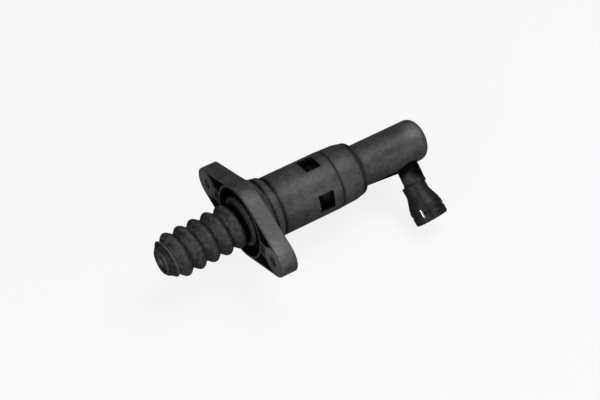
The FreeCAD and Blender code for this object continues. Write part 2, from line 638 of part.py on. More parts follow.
def ball_seat(piece):
    """Plastic cup that snaps round the pushrod's ball."""
    front = "(ball_station - seat_front)"
    back = "(ball_station + seat_back - press_gap)"
    outside = "(piston_cavity - press_gap)"
    piece.revolve("cup", [(front, "0"), (front, outside), (back, outside), (back, "0")])
    piece.ball("socket", "ball_station", "ball_radius + ball_gap", cut=True)
    piece.revolve("mouth", [
        (f"{front} - 1", "0"), (f"{front} - 1", "seat_mouth + 0.4"), (front, "seat_mouth"),
        ("ball_station - ball_radius / 2", "seat_mouth - 0.5"), ("ball_station", "0")], cut=True)


def seat_ring(piece):
    """Snap ring in front of the ball seat."""
    back = "(ball_station - seat_front - seat_gap)"
    front = f"({back} - seat_ring_width)"
    outside = "(piston_cavity + seat_ring_depth - press_gap)"
    piece.revolve("ring", [
        (front, "seat_ring_bore"), (front, outside), (back, outside), (back, "seat_ring_bore")])


def pushrod(piece):
    """Steel rod with a neck and a ball."""
    neck_end = "(ball_station - ball_radius + 0.6)"
    neck_start = f"({neck_end} - rod_neck_length)"
    piece.revolve("rod", [
        ("rod_front", "0"), ("rod_front", "rod_radius - 0.6"), ("rod_front + 0.6", "rod_radius"),
        (f"{neck_start} - 0.8", "rod_radius"), (neck_start, "rod_neck_radius"),
        ("ball_station", "rod_neck_radius"), ("ball_station", "0")])
    piece.ball("ball", "ball_station", "ball_radius")


def rod_end_cap(piece):
    """Head of the pushrod: rim, annular groove, small dome and the waist for the boot."""
    groove = "(cap_front + cap_groove_depth)"
    dome = "(cap_front - cap_dome_height)"
    rim = "(cap_radius - cap_rim)"
    back = "(cap_front + cap_length)"
    floor = "(rod_front - seat_gap)"
    bore = "(rod_radius + press_gap)"
    piece.revolve("cap", [
        (dome, "0"), (dome, "cap_dome_radius / 2"), ("cap_front + 0.2", "cap_dome_radius - 0.2"),
        (groove, "cap_dome_radius"), (groove, f"{rim} - 0.3"), ("cap_front", rim),
        ("cap_front", "cap_radius - 0.7"), ("cap_front + 0.7", "cap_radius"),
        (WAIST_START, "cap_radius"), (WAIST_START, "cap_waist_radius"),
        (WAIST_END, "cap_waist_radius"), (WAIST_END, "cap_collar_radius"),
        (f"{WAIST_END} + 1.8", "cap_collar_radius"), (back, "rod_radius + 2.4"), (back, bore),
        (floor, bore), (floor, "0")])


def primary_cup(piece):
    """Rubber cup with a sealing lip towards the pressure chamber."""
    outside = "(bore_radius - running_gap / 2)"
    back = f"({CUP_START} + cup_width)"
    hollow = f"({back} - cup_groove)"
    piece.revolve("cup", [
        (CUP_START, STEM_BORE), (CUP_START, f"{outside} - 0.5"),
        (f"{CUP_START} + 1", f"{outside} - 0.3"), (f"{back} - 1", outside),
        (back, f"{outside} - 0.3"), (f"{back} - 0.3", f"{outside} - cup_lip"),
        (hollow, f"{outside} - cup_lip - 0.4"), (hollow, f"{STEM_BORE} + 1.8"),
        (back, f"{STEM_BORE} + 1.5"), (back, STEM_BORE)])


def backup_washer(piece):
    """Thin washer between piston and cup."""
    start = f"({PISTON_BACK} + press_gap)"
    end = f"({PISTON_BACK} + washer_width)"
    outside = f"({PISTON_RADIUS} - seat_gap)"
    piece.revolve("washer", [
        (start, STEM_BORE), (start, outside), (end, outside), (end, STEM_BORE)])


def spring_seat(piece):
    """Disc behind the cup with a nose inside the spring."""
    nose = f"({SPRING_REST} + spring_guide_length)"
    stem_end = f"({PISTON_BACK} + piston_stem_length + press_gap)"
    piece.revolve("seat", [
        (SPRING_SEAT, STEM_BORE), (SPRING_SEAT, "spring_seat_radius - 1.2"),
        (f"{SPRING_SEAT} + 0.6", "spring_seat_radius"), (SPRING_REST, "spring_seat_radius"),
        (SPRING_REST, "spring_guide_radius"), (f"{nose} - 1", "spring_guide_radius"),
        (nose, "spring_guide_radius - 1"), (nose, "0"), (stem_end, "0"), (stem_end, STEM_BORE)])


def boot_profile(folds):
    """Outside of the bellows from the cuff to the front lip, and the crest rings on it."""
    cuff_back = f"({GUIDE_FACE} - cuff_gap)"
    rings = [("root_crest + crest_flat / 2", "root_fold_radius"),
             ("root_crest - crest_flat / 2", "root_fold_radius")]
    outside = [(cuff_back, "cuff_radius"), ("root_crest + 1.6", "cuff_radius"), *rings]
    valley = "((root_crest - last_crest) / 2)"
    for fold in range(folds):
        crest = f"(-last_crest - {fold} * fold_pitch)"
        edges = [(f"{crest} + crest_flat / 2", "crest_radius"),
                 (f"{crest} - crest_flat / 2", "crest_radius")]
        outside += [(f"{valley} + valley_flat / 2", "valley_radius"),
                    (f"{valley} - valley_flat / 2", "valley_radius"), *edges]
        rings += edges
        valley = f"({crest} - fold_pitch / 2)"
    return outside, rings


def boot(piece):
    """Rubber bellows: front lip, five folds, a larger root fold and the cuff."""
    outside, rings = boot_profile(int(piece.number("boot_folds")))
    inside = [(x, f"{radius} - boot_wall") for x, radius in outside[2:]]
    collar = "(cap_collar_radius + rubber_gap)"
    bead_front = f"({WAIST_START} + rubber_gap)"
    bead_back = f"({WAIST_END} - rubber_gap)"
    neck = "(end_valley_radius - boot_wall)"
    edge = "(cap_front + lip_start)"
    front = [
        (f"{WAIST_END} + 0.4", "end_valley_radius"), (f"{WAIST_START} + 1", "end_valley_radius"),
        (WAIST_START, "lip_radius"), (f"{WAIST_START} - 0.8", "lip_radius"),
        (edge, "lip_nose"), (edge, "cap_radius + rubber_gap"),
        (bead_front, "cap_radius + rubber_gap"), (bead_front, "cap_waist_radius + rubber_gap"),
        (bead_back, "cap_waist_radius + rubber_gap"), (bead_back, f"max({collar}; {neck})"),
        (f"{WAIST_END} + 0.4", f"max({collar}; {neck})")]
    lip_back = f"({GUIDE_LIP} + guide_lip_width + cuff_gap)"
    grip = "(guide_neck_radius + rubber_gap)"
    cuff = [(lip_back, "guide_lip_radius + cuff_gap"), (lip_back, grip),
            (f"{GUIDE_FACE} - cuff_gap", grip)]
    piece.revolve("bellows", outside + front + inside[::-1] + cuff)
    piece.round_rings("crests", rings, "fold_round")


def port_connector(piece):
    """Connector with a spigot in the neck, a leaning body, a flare and the pipe's socket."""
    spigot = "(neck_bore - press_gap)"
    start = "(neck_reach - neck_bore_depth + seat_gap)"
    groove = f"({start} + 1.2)"
    groove_end = f"({groove} + seal_width + 0.3)"
    foot = "(neck_reach + seat_gap)"
    piece.revolve("spigot", [
        (start, "0"), (start, spigot), (groove, spigot), (groove, f"{spigot} - 1.5"),
        (groove_end, f"{spigot} - 1.5"), (groove_end, spigot), (foot, spigot),
        (foot, "neck_radius + 0.2"), ("neck_reach + 2", "neck_radius + 0.2"),
        ("neck_reach + 2", "0")])
    flare = "(socket_radius - socket_groove)"
    ring = f"({SOCKET_END} - socket_ring)"
    first_end = f"({SOCKET_START} + socket_groove_width)"
    piece.revolve("body", [
        ("connector_foot", "0"), ("connector_foot", "connector_radius - 0.4"),
        ("connector_foot + 0.4", "connector_radius"),
        ("connector_body", "connector_radius"), (SOCKET_START, "socket_radius - 0.3"),
        (SOCKET_START, flare), (first_end, flare), (first_end, "socket_radius"),
        (ring, "socket_radius"), (ring, flare), (f"{ring} + socket_groove_width", flare),
        (f"{ring} + socket_groove_width", "socket_radius"),
        (f"{SOCKET_END} - 0.8", "socket_radius"), (SOCKET_END, "socket_radius - 0.8"),
        (SOCKET_END, "0")], place=SOCKET_SEAT)
    piece.revolve("socket", [
        (SOCKET_FLOOR, "0"), (SOCKET_FLOOR, "socket_bore"),
        (f"{SOCKET_END} - 0.8", "socket_bore"), (f"{SOCKET_END} + 0.1", "socket_bore + 0.9"),
        (f"{SOCKET_END} + 0.1", "0")], cut=True, place=SOCKET_SEAT)
    piece.revolve("straight_passage", [
        ("neck_reach - neck_bore_depth", "0"),
        ("neck_reach - neck_bore_depth", "passage_radius"),
        (f"neck_reach + connector_body", "passage_radius"),
        (f"neck_reach + connector_body", "0")], cut=True)
    piece.revolve("socket_passage", [
        ("connector_body / 2", "0"), ("connector_body / 2", "passage_radius"),
        (f"{SOCKET_FLOOR} + 1", "passage_radius"), (f"{SOCKET_FLOOR} + 1", "0")],
        cut=True, place=SOCKET_SEAT)
    slots = piece.sketch("clip_slots_outline", place=f"{SOCKET_SEAT} * {about_x('clip_turn')}")
    piece.rectangle(slots, CLIP_STATION, "clip_spread / 2", CLIP_HALF, CLIP_HALF)
    piece.rectangle(slots, CLIP_STATION, "-clip_spread / 2", CLIP_HALF, CLIP_HALF)
    piece.pocket("clip_slots", slots, "4 * socket_radius", middle=True)


def connector_seal(piece):
    """Ring seal on the connector's spigot."""
    start = "(neck_reach - neck_bore_depth + 2 * seat_gap + 1.2)"
    inside = "(neck_bore - 1.5)"
    outside = "(neck_bore - press_gap)"
    ring_seal(piece, start, inside, outside)


def pipe_seal(piece):
    """Ring seal at the bottom of the socket."""
    ring_seal(piece, f"({SOCKET_FLOOR} + seat_gap)", "pipe_radius", "(socket_bore - press_gap)")


def ring_seal(piece, start, inside, outside):
    """Ring of soft section with chamfered edges."""
    end = f"({start} + seal_width)"
    piece.revolve("seal", [
        (start, f"{inside} + 0.4"), (start, f"{outside} - 0.4"), (f"{start} + 0.4", outside),
        (f"{end} - 0.4", outside), (end, f"{outside} - 0.4"), (end, f"{inside} + 0.4"),
        (f"{end} - 0.4", inside), (f"{start} + 0.4", inside)])


def seal_retainer(piece):
    """Plastic bush that keeps the pipe's seal in its place."""
    start = f"({SOCKET_FLOOR} + seal_width + 2 * seat_gap)"
    end = f"({start} + retainer_length)"
    outside = "(socket_bore - press_gap)"
    piece.revolve("retainer", [
        (start, "pipe_radius"), (start, outside), (end, outside), (end, "pipe_radius + 0.8"),
        (f"{end} - 0.8", "pipe_radius")])


def rounded_path(points, bend):
    """Wire through points, straight between them, with each inner corner bent."""
    edges = []
    last = points[0]
    for before, corner, after in zip(points, points[1:], points[2:]):
        back = (before - corner).normalize()
        ahead = (after - corner).normalize()
        half = back.getAngle(ahead) / 2
        reach = bend / math.tan(half)
        start, end = corner + back * reach, corner + ahead * reach
        centre = corner + (back + ahead).normalize() * (bend / math.sin(half))
        middle = centre + (corner - centre).normalize() * bend
        edges += [Part.LineSegment(last, start).toShape(), Part.Arc(start, middle, end).toShape()]
        last = end
    edges.append(Part.LineSegment(last, points[-1]).toShape())
    return Part.Wire(edges)


def wire_clip(number):
    """Spring clip: two legs through the socket's slots, one end bent along the socket."""
    station = number(CLIP_STATION)
    half = number("clip_spread / 2")
    low = number("-(socket_radius + clip_travel + rubber_gap + clip_wire / 2)")
    high = number("sqrt((socket_radius + rubber_gap + clip_wire / 2) ^ 2 - (clip_spread / 2) ^ 2)")
    end = station - number("clip_handle") + number("clip_wire")
    places = [(station, half, number("socket_radius - clip_tip")), (station, half, low),
              (station, -half, low), (station, -half, high), (end, -half, high)]
    points = [FreeCAD.Vector(*place) for place in places]
    path = rounded_path(points, number("clip_bend"))
    section = Part.Circle(points[0], points[1] - points[0], number("clip_wire / 2"))
    return path.makePipeShell([Part.Wire(section.toShape())], True, True)


def preload_spring(number):
    """Helical spring between the spring seat and the closed end, its wire twelve-sided."""
    wire = number("spring_wire / 2")
    start = number(f"{SPRING_REST} + seat_gap") + wire
    length = number(f"{CHAMBER_END} - seat_gap") - wire - start
    radius = number("spring_radius")
    pitch = length / number("spring_turns")
    foot = FreeCAD.Vector(radius, 0, 0)
    along = FreeCAD.Vector(0, 2 * math.pi * radius, pitch).normalize()
    square = along.cross(X_DIRECTION)
    sides = 12
    angles = [2 * math.pi * side / sides for side in range(sides + 1)]
    corners = [foot + X_DIRECTION * (wire * math.cos(a)) + square * (wire * math.sin(a))
               for a in angles]
    helix = Part.Wire(Part.makeHelix(pitch, length, radius).Edges)
    coil = helix.makePipeShell([Part.makePolygon(corners)], True, True)
    coil.rotate(FreeCAD.Vector(), FreeCAD.Vector(0, 1, 0), 90)
    coil.translate(FreeCAD.Vector(start, 0, 0))
    return coil


def add_bodies(doc, sheet):
    """Every sub-part with a body, in the order of assembly."""
    makers = {
        "mounting_sleeve": mounting_sleeve,
        "flange_bush_lower": lambda piece: flange_bush(piece, "-"),
        "flange_bush_upper": lambda piece: flange_bush(piece, ""),
        "rear_collar": rear_collar,
        "pressure_cylinder": pressure_cylinder,
        "guide_bush": guide_bush,
        "wiper_seal": wiper_seal,
        "piston": piston,
        "guide_ring": guide_ring,
        "ball_seat": ball_seat,
        "seat_ring": seat_ring,
        "pushrod": pushrod,
        "rod_end_cap": rod_end_cap,
        "primary_cup": primary_cup,
        "backup_washer": backup_washer,
        "spring_seat": spring_seat,
        "boot": boot,
        "port_connector": port_connector,
        "connector_seal": connector_seal,
        "pipe_seal": pipe_seal,
        "seal_retainer": seal_retainer,
    }
    frames = {
        "pushrod": ROD_FRAME,
        "rod_end_cap": ROD_FRAME,
        "boot": BOOT_FRAME,
        "port_connector": PORT_FRAME,
        "connector_seal": PORT_FRAME,
        "pipe_seal": SOCKET_FRAME,
        "seal_retainer": SOCKET_FRAME,
    }
    bodies = []
    for label, make in makers.items():
        piece = Piece(doc, sheet, label, frames.get(label))
        make(piece)
        bodies.append(piece.body)
    return bodies


def add_wires(doc, sheet):
    """The two sub-parts bent from wire."""
    def number(text):
        return float(sheet.evalExpression(bound(text)))
    frames = {"wire_clip": f"{SOCKET_FRAME} * {about_x('clip_turn')}", "preload_spring": None}
    wires = []
    for label, make in (("wire_clip", wire_clip), ("preload_spring", preload_spring)):
        feature = doc.addObject("Part::Feature", label)
        feature.Label = label
        feature.Shape = make(number)
        if frames[label]:
            feature.setExpression("Placement", bound(frames[label]))
        wires.append(feature)
    return wires


def main():
    """Build the document, check it and write one file a sub-part."""
    doc = FreeCAD.newDocument("clutch_slave_cylinder")
    sheet = make_sheet(doc)
    parts = add_bodies(doc, sheet) + add_wires(doc, sheet)
    doc.recompute()
    for item in doc.Objects:
        if "Invalid" in item.State or "Error" in item.State:
            raise RuntimeError(f"{item.Name} did not compute: {item.State}")
    os.makedirs("parts", exist_ok=True)
    for part in parts:
        shape = part.Shape
        if shape.isNull() or not shape.isValid() or len(shape.Solids) != 1:
            raise RuntimeError(f"{part.Label} has no single valid solid")
        shape.exportStep(f"parts/{part.Label}.step")


main()
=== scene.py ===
"""Clutch slave cylinder in satin black plastic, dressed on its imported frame.

Lengths in the dataclasses are millimetres and angles are degrees. The cylinder's axis is X, the
pushrod points to -X and the flange's front face lies at X = 0.
"""
import json
import logging
import math
from dataclasses import dataclass, field
from enum import Enum
from functools import cached_property, reduce
from typing import Callable, Dict, List, Optional, Tuple, Union

import bpy
from mathutils import Matrix, Vector


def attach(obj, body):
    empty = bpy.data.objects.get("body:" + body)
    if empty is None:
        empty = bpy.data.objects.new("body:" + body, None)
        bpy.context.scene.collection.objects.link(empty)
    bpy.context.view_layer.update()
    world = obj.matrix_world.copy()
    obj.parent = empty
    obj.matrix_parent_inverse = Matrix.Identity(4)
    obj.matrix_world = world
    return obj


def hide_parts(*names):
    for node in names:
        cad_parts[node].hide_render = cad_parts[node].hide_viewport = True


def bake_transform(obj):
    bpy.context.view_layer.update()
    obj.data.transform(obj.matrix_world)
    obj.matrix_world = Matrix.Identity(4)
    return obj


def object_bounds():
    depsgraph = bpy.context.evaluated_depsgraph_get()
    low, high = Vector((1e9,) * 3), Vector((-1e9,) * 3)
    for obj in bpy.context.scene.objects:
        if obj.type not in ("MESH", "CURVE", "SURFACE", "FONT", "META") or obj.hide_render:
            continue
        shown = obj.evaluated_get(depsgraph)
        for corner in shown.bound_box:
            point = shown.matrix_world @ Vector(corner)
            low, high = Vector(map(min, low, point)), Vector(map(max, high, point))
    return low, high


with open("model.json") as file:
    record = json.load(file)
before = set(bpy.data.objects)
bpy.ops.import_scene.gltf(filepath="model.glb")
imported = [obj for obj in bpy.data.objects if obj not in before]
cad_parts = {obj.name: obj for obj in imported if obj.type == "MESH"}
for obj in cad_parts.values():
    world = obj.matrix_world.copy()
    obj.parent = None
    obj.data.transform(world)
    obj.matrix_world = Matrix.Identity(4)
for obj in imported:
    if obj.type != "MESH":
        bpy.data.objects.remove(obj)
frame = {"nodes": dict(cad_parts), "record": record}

LOG = logging.getLogger("clutch_slave_cylinder")
MM = 0.001
CAD_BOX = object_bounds()

# Corners closer than this are welded, and faces are joined below this angle
WELD_DISTANCE = 0.003
FLAT_ANGLE = 1.0
# Edges sharper than this are rounded in this many steps, and stay sharp in the shading
EDGE_ANGLE = 40.0
EDGE_STEPS = 2

# Mesh attributes for the painted shade between the folds and the painted highlight on the lip's
# edge, which the bellows stores and its rubber reads
FOLD_SHADE = "painted_fold_shade"
EDGE_HIGHLIGHT = "painted_edge_highlight"

Value = Union["Signal", float]
Colour = Tuple[float, float, float, float]
Paint = Union["Signal", Colour]
Point = Tuple[float, float, float]
Ring = Tuple[float, float]
Span = Tuple[float, float]
Finishes = Dict[str, bpy.types.Material]


# Shader helpers
class Signal:
    """A shader socket that takes part in Python arithmetic, one Math node an operation."""

    def __init__(self, sheet: "NodeSheet", socket: bpy.types.NodeSocket) -> None:
        """Wrap a socket of a node sheet."""
        self.sheet = sheet
        self.socket = socket

    def _maths(self, operation: str, *values: Value) -> "Signal":
        """Result of one Math node."""
        return self.sheet.node("ShaderNodeMath", {"operation": operation}, dict(enumerate(values)))

    def __add__(self, other: Value) -> "Signal":
        """Sum."""
        return self._maths("ADD", self, other)

    def __radd__(self, other: float) -> "Signal":
        """Sum with a number in front."""
        return self._maths("ADD", other, self)

    def __sub__(self, other: Value) -> "Signal":
        """Difference."""
        return self._maths("SUBTRACT", self, other)

    def __rsub__(self, other: float) -> "Signal":
        """Difference with a number in front."""
        return self._maths("SUBTRACT", other, self)

    def __mul__(self, other: Value) -> "Signal":
        """Product."""
        return self._maths("MULTIPLY", self, other)

    def __rmul__(self, other: float) -> "Signal":
        """Product with a number in front."""
        return self._maths("MULTIPLY", other, self)

    def __abs__(self) -> "Signal":
        """Absolute value."""
        return self._maths("ABSOLUTE", self)

    def most(self, other: Value) -> "Signal":
        """Larger of two values."""
        return self._maths("MAXIMUM", self, other)

    def ramp(self, low: float, high: float) -> "Signal":
        """Smooth step from 0 at low to 1 at high.

        Args:
            low: Value that gives 0.
            high: Value that gives 1; it may lie below low.

        Returns:
            The stepped signal.
        """
        settings = {"interpolation_type": "SMOOTHSTEP", "clamp": True}
        first, last, start, end = (low, high, 0.0, 1.0) if low < high else (high, low, 1.0, 0.0)
        return self.sheet.node("ShaderNodeMapRange", settings,
                               {0: self, 1: first, 2: last, 3: start, 4: end})


class NodeSheet:
    """Node tree of a material or of the world."""

    def __init__(self, owner: Union[bpy.types.Material, bpy.types.World]) -> None:
        """Start an empty tree.

        Args:
            owner: Material or world that the nodes belong to.
        """
        owner.use_nodes = True
        self.owner = owner
        self.tree = owner.node_tree
        self.tree.nodes.clear()

    def add(self, kind: str, settings: Optional[Dict[str, object]] = None,
            inputs: Optional[Dict[Union[int, str], object]] = None) -> bpy.types.Node:
        """Add one node.

        Args:
            kind: Node type.
            settings: Properties of the node, which are set first.
            inputs: Values or signals by socket index or name.

        Returns:
            The new node.
        """
        node = self.tree.nodes.new(kind)
        for name, value in (settings or {}).items():
            setattr(node, name, value)
        for key, value in (inputs or {}).items():
            if isinstance(value, Signal):
                self.tree.links.new(value.socket, node.inputs[key])
            else:
                node.inputs[key].default_value = value
        return node

    def node(self, kind: str, settings: Optional[Dict[str, object]] = None,
             inputs: Optional[Dict[Union[int, str], object]] = None,
             output: Union[int, str] = 0) -> Signal:
        """One output of a new node, by its index or name."""
        return Signal(self, self.add(kind, settings, inputs).outputs[output])

    @cached_property
    def place(self) -> Signal:
        """Place on the object, in metres."""
        return self.node("ShaderNodeTexCoord", output="Object")

    def axis(self, name: str) -> Signal:
        """One coordinate of the surface, in millimetres."""
        return self.node("ShaderNodeSeparateXYZ", inputs={0: self.place}, output=name) * (1 / MM)

    def vector(self, operation: str, *values: object, output: str = "Value") -> Signal:
        """Result of one Vector Math node."""
        return self.node("ShaderNodeVectorMath", {"operation": operation},
                         dict(enumerate(values)), output)

    def distance(self, middle: Point) -> Signal:
        """Distance from a point, in millimetres."""
        return self.vector("DISTANCE", self.place, Vector(middle) * MM) * (1 / MM)

    def radius(self) -> Signal:
        """Distance from the part's axis, in millimetres."""
        across = self.vector("MULTIPLY", self.place, (0.0, 1 / MM, 1 / MM), output="Vector")
        return self.vector("LENGTH", across)

    def mix(self, factor: Value, first: Paint, second: Paint) -> Signal:
        """Colour mixed by a factor, on the colour sockets of a Mix node."""
        return self.node("ShaderNodeMix", {"data_type": "RGBA"},
                         {0: factor, 6: first, 7: second}, output=2)

    def bump(self, height: Signal, depth: float, strength: float,
             onto: Optional[Signal] = None) -> Signal:
        """Bumped normal.

        Args:
            height: Height of the surface, from 0 to 1.
            depth: What a height of 1 stands for.
            strength: Share of the height that shows.
            onto: Normal that the bump is laid on, where there is one.

        Returns:
            The normal.
        """
        inputs = {"Strength": strength, "Distance": depth * MM, "Height": height}
        if onto:
            inputs["Normal"] = onto
        return self.node("ShaderNodeBump", inputs=inputs)

    def finish(self, **sockets: object) -> bpy.types.Material:
        """Close the tree with a Principled shader.

        Args:
            **sockets: Values or signals by socket name, with _ for each blank.

        Returns:
            The finished material.
        """
        names = {name.replace("_", " "): value for name, value in sockets.items()}
        self.close(self.node("ShaderNodeBsdfPrincipled", inputs=names))
        return self.owner

    def close(self, shader: Signal, kind: str = "ShaderNodeOutputMaterial") -> None:
        """Wire a shader to the tree's output."""
        self.add(kind, inputs={"Surface": shader})


def grey(value: float, warm: float = 0.0) -> Colour:
    """Opaque linear grey, warmer by a share."""
    return (value * (1 + warm), value, value * (1 - warm), 1.0)


# What the finishes are made of
@dataclass(frozen=True)
class Pattern:
    """Noise over a surface.

    Attributes:
        size: Size of its features.
        detail: Number of finer layers.
        roughness: Strength of the finer layers.
        levels: Noise that gives 0 and noise that gives 1, or nothing for the noise as it is.
        tint: Its share in the colour.
        coarse: What it adds to the roughness.
        relief: Its share in the height of the grain.
    """

    size: float
    detail: float = 2.0
    roughness: float = 0.5
    levels: Optional[Span] = None
    tint: float = 0.0
    coarse: float = 0.0
    relief: float = 1.0

    def on(self, sheet: NodeSheet) -> Signal:
        """Lay the pattern on a surface.

        Args:
            sheet: Node tree of the material.

        Returns:
            The noise, from 0 to 1.
        """
        noise = sheet.node("ShaderNodeTexNoise", inputs={
            "Vector": sheet.place, "Scale": 1 / (self.size * MM), "Detail": self.detail,
            "Roughness": self.roughness})
        return noise.ramp(*self.levels) if self.levels else noise


@dataclass(frozen=True)
class Tint:
    """Grey that follows the shade of a finish.

    Attributes:
        level: Multiple of the shade.
        warm: How warm it is.
    """

    level: float
    warm: float = 0.0

    def of(self, shade: float) -> Colour:
        """Colour for a finish of a shade."""
        return grey(shade * self.level, self.warm)


@dataclass(frozen=True)
class Crease:
    """Ring of painted shade round the axis.

    Attributes:
        station: Middle of the ring along the axis.
        reach: Half its width.
        share: How dark it is, from 0 to 1.
        core: Share of the width that is fully dark.
    """

    station: float
    reach: float
    share: float
    core: float = 0.2

    def on(self, sheet: NodeSheet) -> Signal:
        """Strength of the mark, from 0 to 1."""
        away = abs(sheet.axis("X") - self.station)
        return away.ramp(self.reach, self.reach * self.core) * self.share


@dataclass(frozen=True)
class Spot:
    """Round spot of painted highlight or of painted shade.

    Attributes:
        middle: Middle of the spot.
        reach: Its radius.
        share: How strong it is, from 0 to 1.
        core: Share of the radius that is fully strong.
    """

    middle: Point
    reach: float
    share: float
    core: float = 0.3

    def on(self, sheet: NodeSheet) -> Signal:
        """Strength of the mark, from 0 to 1."""
        away = sheet.distance(self.middle)
        return away.ramp(self.reach, self.reach * self.core) * self.share


@dataclass(frozen=True)
class Nook:
    """Painted shade round the axis that ends on the way out.

    Attributes:
        full: Radius inside which it is full.
        clear: Radius outside which there is none.
        share: How dark it is, from 0 to 1.
    """

    full: float
    clear: float
    share: float

    def on(self, sheet: NodeSheet) -> Signal:
        """Strength of the mark, from 0 to 1."""
        return sheet.radius().ramp(self.clear, self.full) * self.share


@dataclass(frozen=True)
class PartingLine:
    """Fine line that the mould leaves in the plane of the ears.

    Attributes:
        reach: Half its width at the foot.
        core: Half its width at the top.
        depth: Its height.
        strength: Share of the height that shows.
    """

    reach: float = 0.16
    core: float = 0.04
    depth: float = 0.12
    strength: float = 0.8

    def over(self, sheet: NodeSheet, grain: Signal) -> Signal:
        """Lay the line over a grain.

        Args:
            sheet: Node tree of the material.
            grain: Normal of the grained surface.

        Returns:
            The normal with the line.
        """
        line = abs(sheet.axis("Z")).ramp(self.reach, self.core)
        return sheet.bump(line, self.depth, self.strength, onto=grain)


# Finishes
class Gate(Enum):
    """Plane of a mould's parting line on the housing's parts."""

    NONE = 0
    EARS = 1


@dataclass(frozen=True)
class MouldedPlastic:
    """Satin moulded plastic with glass fibres near the surface.

    Attributes:
        name: Material name.
        shade: Linear grey of the plastic.
        roughness: Mean roughness.
        grain: Depth of the fine grain.
        gate: Where the parting line runs.
        gloss: Specular level.
        painted_shade: Marks of painted shade in grooves, joints, windows and hollows.
        painted_highlights: Spots of painted highlight.
        flow: Broad streaks of the melt.
        cloud: Cloudy patches.
        fibre: Fibres under the skin.
        dust: Dusty flecks.
        highlight_grain: Mottling within the painted highlights.
        pore: Finest grain.
        grain_strength: Share of the grain that shows.
        lift: What the patterns add to the roughness on average.
        dark: Colour where the plastic is darkest.
        light: Colour where it is lightest.
        dusty: Colour of the dust.
        highlight_tint: Colour of the painted highlights.
        shadow_tint: Colour of the painted shade.
    """

    name: str
    shade: float = 0.05
    roughness: float = 0.42
    grain: float = 0.03
    gate: Gate = Gate.NONE
    gloss: float = 0.5
    painted_shade: Tuple[Union[Crease, Spot, Nook], ...] = ()
    painted_highlights: Tuple[Spot, ...] = ()
    flow: Pattern = Pattern(9.0, 3.0, 0.55, (0.35, 0.68), tint=0.35, coarse=0.07)
    cloud: Pattern = Pattern(2.6, 3.0, 0.6, (0.3, 0.7), tint=0.65)
    fibre: Pattern = Pattern(0.55, 2.0, 0.6, coarse=0.1, relief=0.7)
    dust: Pattern = Pattern(1.7, 4.0, 0.65, (0.56, 0.74), tint=0.35, coarse=0.1)
    highlight_grain: Pattern = Pattern(1.3, 4.0, 0.7, (0.42, 0.6), tint=0.6)
    pore: Pattern = Pattern(0.2, 1.0, relief=0.3)
    grain_strength: float = 0.7
    lift: float = 0.1
    dark: Tint = Tint(0.5)
    light: Tint = Tint(1.45, 0.01)
    dusty: Tint = Tint(1.9, 0.02)
    highlight_tint: Tint = Tint(4.0, 0.01)
    shadow_tint: Tint = Tint(0.03)

    def normal(self, sheet: NodeSheet, fibre: Signal) -> Signal:
        """Grain of the surface, with the parting line where it has one.

        Args:
            sheet: Node tree of the material.
            fibre: Noise of the fibres.

        Returns:
            The normal.
        """
        height = fibre * self.fibre.relief + self.pore.on(sheet) * self.pore.relief
        grain = sheet.bump(height, self.grain, self.grain_strength)
        return PartingLine().over(sheet, grain) if self.gate is Gate.EARS else grain

    def build(self) -> bpy.types.Material:
        """Make the material.

        Returns:
            The finished material.
        """
        sheet = NodeSheet(bpy.data.materials.new(self.name))
        flow, cloud = self.flow.on(sheet), self.cloud.on(sheet)
        fibre, dust = self.fibre.on(sheet), self.dust.on(sheet)
        tone = sheet.mix(flow * self.flow.tint + cloud * self.cloud.tint,
                         self.dark.of(self.shade), self.light.of(self.shade))
        tone = sheet.mix(dust * self.dust.tint, tone, self.dusty.of(self.shade))
        # Painted highlights: lighter spots where the light catches the surface
        if self.painted_highlights:
            highlight_mottle = self.highlight_grain.on(sheet) * self.highlight_grain.tint + (1 - self.highlight_grain.tint)
            for highlight in self.painted_highlights:
                tone = sheet.mix(highlight.on(sheet) * highlight_mottle, tone, self.highlight_tint.of(self.shade))
        # Painted shade: darker colour where grooves, joints, windows and hollows fall into shade
        painted_shade = 0.0
        if self.painted_shade:
            painted_shade = reduce(Signal.most, [mark.on(sheet) for mark in self.painted_shade])
            tone = sheet.mix(painted_shade, tone, self.shadow_tint.of(self.shade))
        rough = (flow * self.flow.coarse + fibre * self.fibre.coarse + dust * self.dust.coarse
                 + (self.roughness - self.lift))
        # A black metal reflects next to nothing, so Metallic takes the gloss off the painted shade
        return sheet.finish(Base_Color=tone, Roughness=rough, Metallic=painted_shade,
                            Normal=self.normal(sheet, fibre), Specular_IOR_Level=self.gloss)


